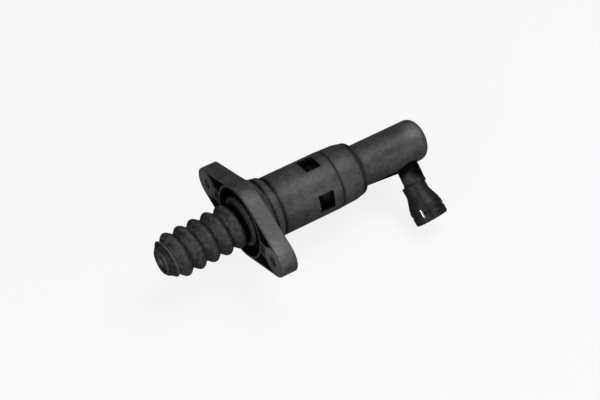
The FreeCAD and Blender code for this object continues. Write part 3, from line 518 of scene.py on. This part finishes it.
@dataclass(frozen=True)
class Rubber:
    """Matte black rubber with a dusty bloom, painted shade between its folds and a painted
    highlight on its lip's edge.

    Attributes:
        name: Material name.
        shade: Linear grey of the rubber.
        bloom: Linear grey of the bloom.
        shadow_grey: Linear grey of the painted shade.
        edge_highlight: Colour of the painted highlight on the lip's edge, by the bloom.
        warm: How warm the bloom is.
        roughness: Least roughness.
        deep_roughness: What the painted shade adds to the roughness.
        gloss: Specular level.
        patch: Patches of bloom.
        speck: Specks of bloom.
        shadow_noise: Unevenness of the painted shade.
        grain: Grain of the rubber.
        grain_depth: Depth of the grain.
        grain_strength: Share of the grain that shows.
    """

    name: str
    shade: float = 0.018
    bloom: float = 0.082
    shadow_grey: float = 0.003
    edge_highlight: Tint = Tint(1.8, 0.01)
    warm: float = 0.015
    roughness: float = 0.58
    deep_roughness: float = 0.3
    gloss: float = 0.42
    patch: Pattern = Pattern(2.6, 4.0, 0.62, (0.4, 0.64), tint=0.65, coarse=0.16)
    speck: Pattern = Pattern(0.8, 3.0, 0.6, (0.52, 0.7), tint=0.3, coarse=0.06)
    shadow_noise: Pattern = Pattern(4.0, 3.0, 0.6, (0.2, 0.5), tint=0.3)
    grain: Pattern = Pattern(0.35, 3.0, 0.6)
    grain_depth: float = 0.05
    grain_strength: float = 0.6

    def build(self) -> bpy.types.Material:
        """Make the material.

        Returns:
            The finished material.
        """
        sheet = NodeSheet(bpy.data.materials.new(self.name))
        patch, speck = self.patch.on(sheet), self.speck.on(sheet)
        # Painted shade between the folds and painted highlight on the lip's edge, as stored on the
        # points
        depth, edge = (sheet.node("ShaderNodeAttribute", {"attribute_name": name}, output="Fac")
                       for name in (FOLD_SHADE, EDGE_HIGHLIGHT))
        fold_shadow = depth * (self.shadow_noise.on(sheet) * self.shadow_noise.tint + (1 - self.shadow_noise.tint))
        tone = sheet.mix(patch * self.patch.tint + speck * self.speck.tint, grey(self.shade),
                         grey(self.bloom, self.warm))
        tone = sheet.mix(fold_shadow, tone, grey(self.shadow_grey))
        # Painted highlight along the lip's front edge
        tone = sheet.mix(edge, tone, self.edge_highlight.of(self.bloom))
        rough = (self.roughness + patch * self.patch.coarse + speck * self.speck.coarse
                 + fold_shadow * self.deep_roughness)
        normal = sheet.bump(self.grain.on(sheet), self.grain_depth, self.grain_strength)
        # Metallic takes the gloss off the painted shade here too
        return sheet.finish(Base_Color=tone, Roughness=rough, Metallic=fold_shadow, Normal=normal,
                            Specular_IOR_Level=self.gloss)


@dataclass(frozen=True)
class Steel:
    """Plain, drawn or plated steel.

    Attributes:
        name: Material name.
        shade: Linear grey of the metal.
        roughness: Least roughness.
        stain: Strength of the darker stains.
        stained: Colour of the stains.
        patch: Stains.
        scratch: Fine scratches.
        scratch_depth: Depth of the scratches.
        scratch_strength: Share of their depth that shows.
    """

    name: str
    shade: float
    roughness: float
    stain: float
    stained: Tint = Tint(0.55, 0.03)
    patch: Pattern = Pattern(1.8, 4.0, 0.6, (0.45, 0.7), coarse=0.15)
    scratch: Pattern = Pattern(0.22, coarse=0.08)
    scratch_depth: float = 0.015
    scratch_strength: float = 0.5

    def build(self) -> bpy.types.Material:
        """Make the material.

        Returns:
            The finished material.
        """
        sheet = NodeSheet(bpy.data.materials.new(self.name))
        patch, scratch = self.patch.on(sheet), self.scratch.on(sheet)
        tone = sheet.mix(patch * self.stain, grey(self.shade), self.stained.of(self.shade))
        rough = self.roughness + patch * self.patch.coarse + scratch * self.scratch.coarse
        normal = sheet.bump(scratch, self.scratch_depth, self.scratch_strength)
        return sheet.finish(Base_Color=tone, Roughness=rough, Metallic=1.0, Normal=normal)


# Modelling helpers
def smooth_step(value: float, low: float, high: float) -> float:
    """Smooth share from 0 at low to 1 at high, which may lie below low."""
    share = min(1.0, max(0.0, (value - low) / (high - low)))
    return share * share * (3 - 2 * share)


def clear_selection() -> None:
    """Leave edit mode and deselect everything."""
    if bpy.context.object and bpy.context.object.mode != "OBJECT":
        bpy.ops.object.mode_set(mode="OBJECT")
    bpy.ops.object.select_all(action="DESELECT")


def pick(thing: bpy.types.Object) -> None:
    """Make one object the only selected and active one.

    Args:
        thing: Object to pick.
    """
    clear_selection()
    thing.select_set(True)
    bpy.context.view_layer.objects.active = thing


def settle(thing: bpy.types.Object, angle: float = EDGE_ANGLE) -> None:
    """Apply an object's place to its mesh and shade it smooth.

    Args:
        thing: Object to settle.
        angle: Edges sharper than this stay sharp.
    """
    pick(thing)
    bpy.ops.object.transform_apply(location=True, rotation=True, scale=True)
    bpy.ops.object.shade_smooth_by_angle(angle=math.radians(angle))


def apply_modifier(thing: bpy.types.Object, kind: str, **settings: object) -> None:
    """Add a modifier and apply it.

    Args:
        thing: Object to change.
        kind: Modifier type.
        **settings: Properties of the modifier.
    """
    pick(thing)
    modifier = thing.modifiers.new(kind.title(), kind)
    for name, value in settings.items():
        setattr(modifier, name, value)
    bpy.ops.object.modifier_apply(modifier=modifier.name)


def coat(thing: bpy.types.Object, material: bpy.types.Material) -> None:
    """Give a piece its material, and report it.

    Args:
        thing: Piece to finish.
        material: Its finish.
    """
    thing.data.materials.clear()
    thing.data.materials.append(material)
    LOG.info("%s: %d faces", thing.name, len(thing.data.polygons))


def merged_copy(node: str, name: str) -> bpy.types.Object:
    """Copy of a CAD node with merged corners and as few faces as its form needs.

    Args:
        node: CAD node to copy.
        name: Name of the new piece.

    Returns:
        The new piece, which stands for the node.
    """
    source = frame["nodes"][node]
    thing = bpy.data.objects.new(name, source.data.copy())
    bpy.context.scene.collection.objects.link(thing)
    pick(thing)
    bpy.ops.object.mode_set(mode="EDIT")
    bpy.ops.mesh.select_all(action="SELECT")
    bpy.ops.mesh.remove_doubles(threshold=WELD_DISTANCE * MM)
    bpy.ops.mesh.dissolve_limited(angle_limit=math.radians(FLAT_ANGLE))
    bpy.ops.mesh.quads_convert_to_tris(quad_method="BEAUTY", ngon_method="BEAUTY")
    bpy.ops.object.mode_set(mode="OBJECT")
    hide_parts(node)
    return thing


def refined_copy(node: str, name: str, width: float) -> bpy.types.Object:
    """Merged copy of a CAD node with small rounded edges.

    Args:
        node: CAD node to copy.
        name: Name of the new piece.
        width: Width of the rounded edges.

    Returns:
        The new piece, which stands for the node.
    """
    thing = merged_copy(node, name)
    apply_modifier(thing, "BEVEL", width=width * MM, segments=EDGE_STEPS,
                   limit_method="ANGLE", angle_limit=math.radians(EDGE_ANGLE))
    settle(thing)
    return thing


def paint_shade(thing: bpy.types.Object, material: bpy.types.Material,
           rule: Callable[[Vector], bool]) -> None:
    """Give a second, darker material to some faces as painted shade.

    Args:
        thing: Piece to change.
        material: Finish of the chosen faces, a shaded copy.
        rule: Whether a face is chosen, by its middle in millimetres.
    """
    thing.data.materials.append(material)
    for face in thing.data.polygons:
        if rule(face.center / MM):
            face.material_index = 1


def finish_nodes(finishes: Finishes) -> None:
    """Put the finish of each CAD node on the node itself.

    Args:
        finishes: Materials by record slot.
    """
    for part in frame["record"]["subparts"]:
        node = frame["nodes"][part["node"]]
        material = finishes[part["material_slot"]]
        if node.material_slots:
            for slot in node.material_slots:
                slot.material = material
        else:
            node.data.materials.append(material)
        LOG.info("%s: %s", part["node"], material.name)


# The bellows
@dataclass(frozen=True)
class FoldShade:
    """Where painted shade falls on the bellows.

    Attributes:
        share: How dark it is between the folds, from 0 to 1.
        behind: From a fold's crest to the middle of its painted shade.
        reach: Half the width that is fully dark, and half the whole width.
        last: From the rearmost fold's crest to where these rings end.
        lip_share: How dark it is in front of the lip.
        lip_fade: Length over which the lip's painted shade ends.
        root: Stations between which the root's painted shade sets in.
        root_radii: Radii between which it ends.
    """

    share: float = 0.55
    behind: float = 3.0
    reach: Span = (0.3, 2.7)
    last: float = 5.0
    lip_share: float = 0.4
    lip_fade: float = 0.8
    root: Span = (-6.5, -5.0)
    root_radii: Span = (13.6, 15.2)


@dataclass
class Bellows:
    """Rubber bellows with leaning folds, in two lengths that meet at its foremost fold.

    A ring is a station on the axis and a radius.

    Attributes:
        crest_radius: Outside of a fold.
        valley_radius: Outside between folds.
        root_valley: Outside between the first fold and the root fold.
        pitch: From fold to fold.
        root_crest: Station that the first valley is set from.
        last_crest: Station of the fold nearest the flange.
        folds: Number of full folds.
        wall: Rubber thickness.
        cuff: Outside of the cuff in the flange.
        root_fold: Outside of the root fold.
        fold: Steps from a crest and falls below it.
        valley: Steps from a valley and rises above it.
        nose: Outside of the lip on the end cap.
        nose_inside: Inside of the lip, from its front edge back.
        cuff_inside: Inside of the cuff.
        lean: Lean of the folds, the side away from the port to the front.
        lean_start: Stations between which the lean sets in.
        lean_end: Stations between which it ends inside the lip.
        lip_radii: Radii of the lip's inside and outside.
        seam_step: From the foremost fold's crest to the seam, which lies in front of it.
        highlight_radii: Radii between which the lip's edge gets its painted highlight.
        highlight_reach: From the bead to where the painted edge highlight ends.
        port_angle: Port below the ear line.
        rod_droop: How far the end cap hangs below the axis, at its front.
        ball: Station of the pushrod's ball.
        cap_front: Station of the end cap's front rim.
        bead: Station where the front lip grips the end cap.
        held: Station listed with the housing for the rear length.
        painted_shade: Where the painted shade falls.
        around: Steps round a ring.
        smooth_angle: Edges sharper than this stay sharp.
    """

    crest_radius: float = 15.5
    valley_radius: float = 12.4
    root_valley: float = 11.8
    pitch: float = 9.88
    root_crest: float = 1.6
    last_crest: float = -7.1
    folds: int = 5
    wall: float = 1.4
    cuff: Tuple[Ring, ...] = ((5.5, 16.1), (3.3, 16.1), (2.6, 16.4), (2.1, 17.0))
    root_fold: Tuple[Ring, ...] = ((1.1, 17.2), (0.3, 16.5), (-0.7, 14.6))
    fold: Tuple[Ring, ...] = (
        (3.5, 2.45), (2.6, 1.5), (1.7, 0.65), (0.8, 0.08), (0.0, 0.0), (-0.8, 0.06),
        (-1.6, 0.6), (-2.5, 1.55), (-3.4, 2.5))
    valley: Tuple[Ring, ...] = ((0.75, 0.25), (0.0, 0.0), (-0.75, 0.25))
    nose: Tuple[Ring, ...] = (
        (-50.7, 12.0), (-51.6, 11.9), (-52.4, 12.1), (-52.9, 12.6), (-53.3, 12.9),
        (-53.7, 12.6), (-54.3, 11.6), (-55.1, 10.6), (-56.1, 10.1), (-57.0, 9.8))
    nose_inside: Tuple[Ring, ...] = (
        (-57.0, 9.35), (-53.4, 9.3), (-53.2, 8.2), (-51.4, 8.2), (-51.1, 10.3), (-50.2, 10.6))
    cuff_inside: Tuple[Ring, ...] = ((2.4, 14.5), (2.5, 13.5), (5.5, 13.5))
    lean: float = 5.6
    lean_start: Span = (2.2, -5.0)
    lean_end: Span = (-51.0, -49.0)
    lip_radii: Span = (10.2, 12.6)
    seam_step: float = 1.0
    highlight_radii: Span = (12.45, 12.75)
    highlight_reach: float = 1.0
    port_angle: float = 38.5
    rod_droop: float = 1.5
    ball: float = 44.0
    cap_front: float = -58.0
    bead: float = -53.6
    held: float = 0.5
    painted_shade: FoldShade = FoldShade()
    around: int = 128
    smooth_angle: float = 60.0

    @property
    def seam(self) -> float:
        """Station where the two lengths meet, just in front of the foremost fold's crest."""
        return self.last_crest - (self.folds - 1) * self.pitch - self.seam_step

    def pleats(self) -> List[Ring]:
        """Outside of the root fold and the folds, where the wall is even.

        Returns:
            The rings from the cuff to the lip.
        """
        rings = list(self.root_fold)
        middle, low = (self.root_crest + self.last_crest) / 2, self.root_valley
        for number in range(self.folds):
            crest = self.last_crest - number * self.pitch
            rings += [(middle + step, low + rise) for step, rise in self.valley]
            rings += [(crest + step, self.crest_radius - fall) for step, fall in self.fold]
            middle, low = crest - self.pitch / 2, self.valley_radius
        return rings

    def profile(self) -> List[Ring]:
        """Whole section, out along the outside and back along the inside.

        Returns:
            The rings from the cuff to the front edge and back to the cuff.
        """
        pleats = self.pleats()
        inner = [(station, radius - self.wall) for station, radius in reversed(pleats)]
        return [*self.cuff, *pleats, *self.nose, *self.nose_inside, *inner, *self.cuff_inside]

    def lathe(self, name: str, rings: List[Ring]) -> bpy.types.Object:
        """Rings extruded and scaled from station to station.

        Args:
            name: Name of the piece.
            rings: Station and radius of each ring.

        Returns:
            The open shell.
        """
        clear_selection()
        station, radius = rings[0]
        bpy.ops.mesh.primitive_circle_add(
            vertices=self.around, radius=radius * MM, location=(station * MM, 0, 0),
            rotation=(0, math.pi / 2, 0))
        thing = bpy.context.object
        thing.name = name
        bpy.ops.object.transform_apply(location=True, rotation=True, scale=True)
        bpy.ops.object.mode_set(mode="EDIT")
        bpy.ops.mesh.select_all(action="SELECT")
        for following, width in rings[1:]:
            step = (following - station) * MM
            bpy.ops.mesh.extrude_region_move(TRANSFORM_OT_translate={"value": (step, 0, 0)})
            scale = width / radius
            bpy.ops.transform.resize(value=(1, scale, scale),
                                     center_override=(following * MM, 0, 0))
            station, radius = following, width
        bpy.ops.object.mode_set(mode="OBJECT")
        return thing

    def close(self, thing: bpy.types.Object) -> None:
        """Bridge the first ring to the last and turn the faces outwards.

        Args:
            thing: The open shell.
        """
        pick(thing)
        bpy.ops.object.mode_set(mode="EDIT")
        bpy.ops.mesh.select_mode(type="EDGE")
        bpy.ops.mesh.select_all(action="DESELECT")
        bpy.ops.mesh.select_non_manifold(
            extend=False, use_wire=False, use_boundary=True, use_multi_face=False,
            use_non_contiguous=False, use_verts=False)
        bpy.ops.mesh.bridge_edge_loops()
        bpy.ops.mesh.select_all(action="SELECT")
        bpy.ops.mesh.normals_make_consistent(inside=False)
        bpy.ops.object.mode_set(mode="OBJECT")

    def split(self, thing: bpy.types.Object, name: str) -> bpy.types.Object:
        """Cut the bellows at its seam and make a piece of the front length.

        Args:
            thing: The whole bellows, upright.
            name: Name of the front piece.

        Returns:
            The front piece; the given piece keeps the rear length.
        """
        front = thing.copy()
        front.data = thing.data.copy()
        front.name = name
        bpy.context.scene.collection.objects.link(front)
        for piece, rear in ((thing, True), (front, False)):
            pick(piece)
            bpy.ops.object.mode_set(mode="EDIT")
            bpy.ops.mesh.select_all(action="SELECT")
            bpy.ops.mesh.bisect(plane_co=(self.seam * MM, 0, 0), plane_no=(1, 0, 0),
                                clear_inner=rear, clear_outer=not rear)
            bpy.ops.object.mode_set(mode="OBJECT")
        return front

    def depth(self, x: float, radius: float) -> float:
        """How much painted shade a point gets.

        Args:
            x: Station of the point.
            radius: Its distance from the axis.

        Returns:
            Share of painted shade, from 0 to 1.
        """
        painted_shade = self.painted_shade
        if x < self.bead:
            clean = smooth_step(x, self.bead - painted_shade.lip_fade, self.bead)
            return painted_shade.lip_share * (1 - clean)
        root = smooth_step(x, *painted_shade.root) * (1 - smooth_step(radius, *painted_shade.root_radii))
        if x >= self.last_crest + painted_shade.last:
            return root
        middle = self.last_crest + painted_shade.behind
        away = (x - middle + self.pitch / 2) % self.pitch - self.pitch / 2
        return max(painted_shade.share * (1 - smooth_step(abs(away), *painted_shade.reach)), root)

    def leaning(self, x: float, radius: float) -> float:
        """How far a point follows the lean of the folds.

        Args:
            x: Station of the point.
            radius: Its distance from the axis.

        Returns:
            Share of the lean, from 0 to 1.
        """
        share = smooth_step(x, *self.lean_start)
        if x < self.lean_end[1]:
            free = smooth_step(radius, *self.lip_radii)
            share *= free + (1 - free) * smooth_step(x, *self.lean_end)
        return share

    def hang(self, thing: bpy.types.Object) -> None:
        """Store painted shade and a painted edge highlight on the points, lean the folds and turn
        the bellows as it hangs.

        Args:
            thing: Upright length of the bellows.
        """
        angle = math.radians(self.port_angle)
        up = Vector((0, math.cos(angle), math.sin(angle)))
        slope = math.tan(math.radians(self.lean))
        fold_shades = thing.data.attributes.new(FOLD_SHADE, "FLOAT", "POINT")
        edges = thing.data.attributes.new(EDGE_HIGHLIGHT, "FLOAT", "POINT")
        for vertex, depth, edge in zip(thing.data.vertices, fold_shades.data, edges.data):
            x, height = vertex.co.x / MM, vertex.co.dot(up) / MM
            radius = math.hypot(vertex.co.y, vertex.co.z) / MM
            # Painted shade between the folds, at the root and in front of the lip
            depth.value = self.depth(x, radius)
            # Painted highlight on the lip's edge
            if x < self.bead + self.highlight_reach:
                edge.value = smooth_step(radius, *self.highlight_radii)
            vertex.co.x -= height * slope * self.leaning(x, radius) * MM
        rod = self.rod_droop / (self.ball - self.cap_front)
        droop = math.asin(rod * (1 - self.ball / self.bead))
        hinge = Vector((0, -math.sin(angle), math.cos(angle)))
        thing.data.transform(Matrix.Rotation(droop, 4, hinge))

    def build(self, material: bpy.types.Material) -> None:
        """Make the bellows in a rear and a front length.

        Args:
            material: Finish of the rubber.
        """
        body = self.lathe("boot_body", self.profile())
        self.close(body)
        apply_modifier(body, "SUBSURF", levels=1, render_levels=1)
        front = self.split(body, "boot_front")
        ends = ((body, "housing", "piston_group", self.held, self.seam),
                (front, "piston_group", "rod", self.seam, self.bead))
        for thing, first, second, start, end in ends:
            self.hang(thing)
            settle(thing, self.smooth_angle)
            coat(thing, material)
            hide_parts("boot")
            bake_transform(thing)


# Housing
@dataclass
class Flange:
    """Outline of the mounting flange, from its round middle to an ear on either side.

    Attributes:
        hub: Radius of the middle.
        ear: Radius of an ear.
        spacing: Between the two bolt holes.
        depth: Depth of the cored-out front.
        steps: Steps from the middle's circle to an ear's.
    """

    hub: float = 25.8
    ear: float = 11.3
    spacing: float = 79.0
    depth: float = 8.0
    steps: int = 20

    def inset(self, y: float, z: float) -> float:
        """How far a point lies inside the outline.

        Args:
            y: Distance from the middle along the ear line.
            z: Distance from the ear line.

        Returns:
            Distance to the outline, below 0 outside it.
        """
        shares = [number / self.steps for number in range(self.steps + 1)]
        return max(self.hub + (self.ear - self.hub) * share
                   - math.hypot(abs(y) - share * self.spacing / 2, z) for share in shares)


@dataclass
class Housing:
    """Sleeve, collar, pressure cylinder, connector and guide bush.

    Attributes:
        edge: Width of the rounded edges.
        guide_edge: Width of the rounded edges of the guide bush.
        flange: Outline of the flange.
        skin: Faces of the flange nearer to its front than this lie on its rims.
        cone: How far the painted shade of the recess goes on behind its floor, over the hub cone.
        rim: Width of the wall round the recess.
        window: First and last station of the windows.
        window_radius: The barrel's walls below this radius lie in its windows.
        neck_start: Distance from the axis where the neck is clear of the cylinder.
        rib_gap: Half the room between an ear's two ribs.
        recess_radius: Radius of the cored-out middle.
    """

    edge: float = 0.35
    guide_edge: float = 0.2
    flange: Flange = field(default_factory=Flange)
    skin: float = 0.3
    cone: float = 3.0
    rim: float = 1.2
    window: Span = (47.0, 61.0)
    window_radius: float = 19.3
    neck_start: float = 14.6
    rib_gap: float = 3.6
    recess_radius: float = 25.0

    def in_pocket(self, place: Vector) -> bool:
        """Whether a face of the sleeve lies in the cored-out front or in a window, which are
        painted as shade.

        Args:
            place: Middle of the face.

        Returns:
            True where the face gets the painted shade.
        """
        x, radius = place.x, math.hypot(place.y, place.z)
        if self.window[0] < x < self.window[1]:
            return radius < self.window_radius
        if abs(place.z) < self.rib_gap and abs(place.y) > self.recess_radius:
            return False
        inside = self.flange.inset(place.y, place.z) > self.rim
        return inside and self.skin < x < self.flange.depth + self.cone

    def on_neck(self, place: Vector) -> bool:
        """Whether a face of the pressure cylinder lies on its side neck, which gets painted shade.
        """
        return math.hypot(place.y, place.z) > self.neck_start

    def build(self, finishes: Finishes) -> None:
        """Dress the housing's pieces.

        Args:
            finishes: Materials by node, and the shaded copies by name.
        """
        pieces = (("mounting_sleeve", "body_plastic", self.edge),
                  ("rear_collar", "body_plastic", self.edge),
                  ("pressure_cylinder", "body_plastic", self.edge),
                  ("port_connector", "body_plastic", self.edge),
                  ("guide_bush", "guide_plastic", self.guide_edge))
        # The recess, pockets, windows and neck get a darker copy as painted shade
        darker = {"mounting_sleeve": ("cavity", self.in_pocket),
                  "pressure_cylinder": ("neck", self.on_neck)}
        for node, slot, width in pieces:
            thing = refined_copy(node, f"{node}_shell", width)
            coat(thing, finishes[node])
            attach(thing, "housing")
            if node in darker:
                finish, rule = darker[node]
                paint_shade(thing, finishes[finish], rule)


@dataclass
class PreloadSpring:
    """Spring between the cylinder's end and the seat behind the piston.

    Attributes:
        front: Station of the coil at the seat.
        rear: Station of the coil in the cylinder.
    """

    front: float = 71.8
    rear: float = 133.0

    def build(self, material: bpy.types.Material) -> None:
        """Copy the spring and finish it.

        Args:
            material: Finish of the wire.
        """
        thing = merged_copy("preload_spring", "preload_spring_coil")
        settle(thing)
        coat(thing, material)
        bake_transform(thing)


# Studio
@dataclass(frozen=True)
class Lamp:
    """Square area lamp.

    Attributes:
        name: Its name.
        place: Its place.
        size: Side of the square.
        power: Power in watts.
    """

    name: str
    place: Point
    size: float
    power: float

    def build(self, target: Point) -> None:
        """Hang the lamp.

        Args:
            target: Point that it looks at.
        """
        data = bpy.data.lights.new(self.name, "AREA")
        data.size = self.size * MM
        data.energy = self.power
        lamp = bpy.data.objects.new(self.name, data)
        lamp.location = Vector(self.place) * MM
        lamp.rotation_mode = "QUATERNION"
        aim = Vector(target) - Vector(self.place)
        lamp.rotation_quaternion = aim.to_track_quat("-Z", "Y")
        bpy.context.scene.collection.objects.link(lamp)


@dataclass
class Studio:
    """Floor, lamps, surroundings and camera.

    Attributes:
        eye: Camera position.
        right: Camera's right, in the part's frame.
        up: Camera's up.
        focal: Focal length.
        sensor: Width of the camera's sensor.
        roll: Turn of the picture, counterclockwise.
        clip: Nearest and farthest distance that the camera sees.
        middle: Middle of the part, which the lamps look at.
        floor_size: Side of the floor.
        floor_gap: Room between the floor and the lowest point.
        floor_shade: Linear grey of the floor, as it lights the part.
        floor_paint: Linear grey of the floor, as the camera sees it.
        floor_glow: Share of plain white in what the camera sees of the floor.
        floor_roughness: Roughness of the floor.
        floor_gloss: Specular level of the floor.
        ambient: Strength of the surroundings, as they light the part.
        lamps: The three lamps.
    """

    eye: Point = (-370.3, -652.8, 814.4)
    right: Point = (0.8402, -0.5423, -0.0057)
    up: Point = (0.3978, 0.6091, 0.6861)
    focal: float = 105.44
    sensor: float = 36.0
    roll: float = 0.15
    clip: Span = (50.0, 20000.0)
    middle: Point = (40.0, 0.0, 0.0)
    floor_size: float = 6000.0
    floor_gap: float = 0.5
    floor_shade: float = 0.2
    floor_paint: float = 0.9
    floor_glow: float = 0.85
    floor_roughness: float = 0.9
    floor_gloss: float = 0.1
    ambient: float = 0.035
    lamps: Tuple[Lamp, ...] = (
        Lamp("overhead", (420.0, -200.0, 1200.0), 800.0, 10.2),
        Lamp("side", (380.0, -1150.0, 360.0), 700.0, 4.2),
        Lamp("front", (-1100.0, -550.0, 450.0), 800.0, 8.3))

    def camera(self) -> None:
        """Camera at the photograph's angle."""
        right = Vector(self.right).normalized()
        up = Vector(self.up)
        up = (up - right * up.dot(right)).normalized()
        back = right.cross(up)
        lean = Matrix.Rotation(-math.radians(self.roll), 3, back)
        right, up = lean @ right, lean @ up
        turn = Matrix((right, up, back)).transposed().to_4x4()
        data = bpy.data.cameras.new("camera")
        data.lens = self.focal
        data.sensor_width = self.sensor
        data.clip_start, data.clip_end = (distance * MM for distance in self.clip)
        camera = bpy.data.objects.new("camera", data)
        camera.matrix_world = Matrix.Translation(Vector(self.eye) * MM) @ turn
        bpy.context.scene.collection.objects.link(camera)
        bpy.context.scene.camera = camera

    def floor(self) -> None:
        """Pale floor just under the lowest point, near white to the camera."""
        low = CAD_BOX[0].z - self.floor_gap * MM
        clear_selection()
        bpy.ops.mesh.primitive_plane_add(
            size=self.floor_size * MM, location=(self.middle[0] * MM, 0, low))
        floor = bpy.context.object
        floor.name = "floor"
        bpy.ops.object.transform_apply(location=True, rotation=True, scale=True)
        sheet = NodeSheet(bpy.data.materials.new("floor_paint"))
        seen = sheet.node("ShaderNodeLightPath", output="Is Camera Ray")
        paint = sheet.mix(seen, grey(self.floor_shade), grey(self.floor_paint))
        shade = sheet.node("ShaderNodeBsdfPrincipled", inputs={
            "Base Color": paint, "Roughness": self.floor_roughness,
            "Specular IOR Level": self.floor_gloss})
        glow = sheet.node("ShaderNodeEmission", inputs={"Color": grey(1.0), "Strength": 1.0})
        sheet.close(sheet.node("ShaderNodeMixShader", inputs={
            0: seen * self.floor_glow, 1: shade, 2: glow}))
        floor.data.materials.append(sheet.owner)

    def world(self) -> None:
        """Even pale surroundings, white to the camera."""
        world = bpy.data.worlds.new("surroundings")
        bpy.context.scene.world = world
        sheet = NodeSheet(world)
        seen = sheet.node("ShaderNodeLightPath", output="Is Camera Ray")
        strength = sheet.node("ShaderNodeMix", {"data_type": "FLOAT"},
                              {0: seen, 2: self.ambient, 3: 1.0})
        air = sheet.node("ShaderNodeBackground", inputs={"Color": grey(1.0),
                                                         "Strength": strength})
        sheet.close(air, "ShaderNodeOutputWorld")

    def build(self) -> None:
        """Set up floor, world, lamps and camera."""
        self.floor()
        self.world()
        for lamp in self.lamps:
            lamp.build(self.middle)
        self.camera()
        bpy.context.scene.view_settings.view_transform = "Standard"


def make_finishes() -> Finishes:
    """Make every material.

    Returns:
        Materials by record slot, by node for the housing's pieces, and the shaded copies by name.
    """
    # Creases, nooks and dark spots are painted shade in grooves, joints, windows and under the
    # cylinder; the lighter spots are painted highlights
    barrel_joint_shade = Crease(66.8, 2.6, 0.3)
    port_nook_shade = Spot((125.5, -17.5, -5.5), 10.5, 0.9, core=0.4)
    makers = {
        "body_plastic": MouldedPlastic("body_plastic_satin", roughness=0.52, gate=Gate.EARS),
        # Shaded copies: painted shade on the recess, pockets, windows and neck
        "cavity": MouldedPlastic("body_plastic_shaded", 0.006, 0.7, gloss=0.06),
        "neck": MouldedPlastic(
            "body_plastic_neck_shaded", 0.038, 0.6, gloss=0.2,
            painted_shade=(port_nook_shade, Nook(17.5, 22.0, 0.95))),
        "mounting_sleeve": MouldedPlastic(
            "body_plastic_sleeve", 0.052, 0.52, gate=Gate.EARS,
            painted_shade=(Crease(16.3, 1.9, 0.65), Crease(23.2, 2.6, 0.5), barrel_joint_shade),
            painted_highlights=(Spot((3.5, -5.0, 25.3), 9.0, 0.35), Spot((5.0, -48.0, -7.0), 8.0, 0.5),
                    Spot((-2.0, -39.0, 4.0), 15.0, 1.0), Spot((0.0, 42.0, 0.0), 14.0, 0.55))),
        "rear_collar": MouldedPlastic(
            "body_plastic_collar", 0.052, 0.52, gate=Gate.EARS,
            painted_shade=(barrel_joint_shade, Crease(84.0, 2.4, 0.6))),
        "pressure_cylinder": MouldedPlastic(
            "body_plastic_cylinder", 0.052, 0.5,
            painted_shade=(Crease(87.0, 1.8, 0.5), Crease(62.0, 24.6, 0.6, core=0.98)),
            painted_highlights=(Spot((131.0, -4.0, 13.0), 10.0, 0.55), Spot((91.0, -8.0, 12.0), 4.0, 0.3))),
        "port_connector": MouldedPlastic(
            "body_plastic_connector", 0.012, 0.5, gloss=0.3, painted_shade=(port_nook_shade,),
            painted_highlights=(Spot((118.0, -36.0, -21.0), 6.0, 0.35),)),
        # The guide bush seen through the windows is painted near black as shade
        "guide_bush": MouldedPlastic("guide_plastic_shaded", 0.002, 0.8, gloss=0.03),
        "guide_plastic": MouldedPlastic("guide_plastic_satin", roughness=0.45),
        "piston_plastic": MouldedPlastic("piston_plastic_smooth", 0.07, 0.35, grain=0.01),
        "bearing_plastic": MouldedPlastic("bearing_plastic_smooth", 0.16, 0.4, grain=0.01),
        "cap_plastic": MouldedPlastic(
            "cap_plastic_satin", roughness=0.55, painted_highlights=(Spot((-58.3, -1.2, -0.9), 4.5, 0.7),)),
        "boot_rubber": Rubber("boot_rubber_matte"),
        "seal_rubber": Rubber("seal_rubber_matte", shade=0.02, bloom=0.04),
        "bush_steel": Steel("bush_steel_plain", 0.3, 0.5, 0.5),
        "rod_steel": Steel("rod_steel_ground", 0.5, 0.25, 0.3),
        "spring_steel": Steel("spring_steel_drawn", 0.4, 0.35, 0.4),
        "clip_steel": Steel("clip_steel_bright", 0.65, 0.22, 0.2),
    }
    return {slot: maker.build() for slot, maker in makers.items()}


def main() -> None:
    """Build every piece in order."""
    logging.basicConfig(level=logging.INFO, format="%(name)s: %(message)s")
    finishes = make_finishes()
    finish_nodes(finishes)
    Housing().build(finishes)
    PreloadSpring().build(finishes["spring_steel"])
    Bellows().build(finishes["boot_rubber"])
    Studio().build()


if __name__ == "__main__":
    main()
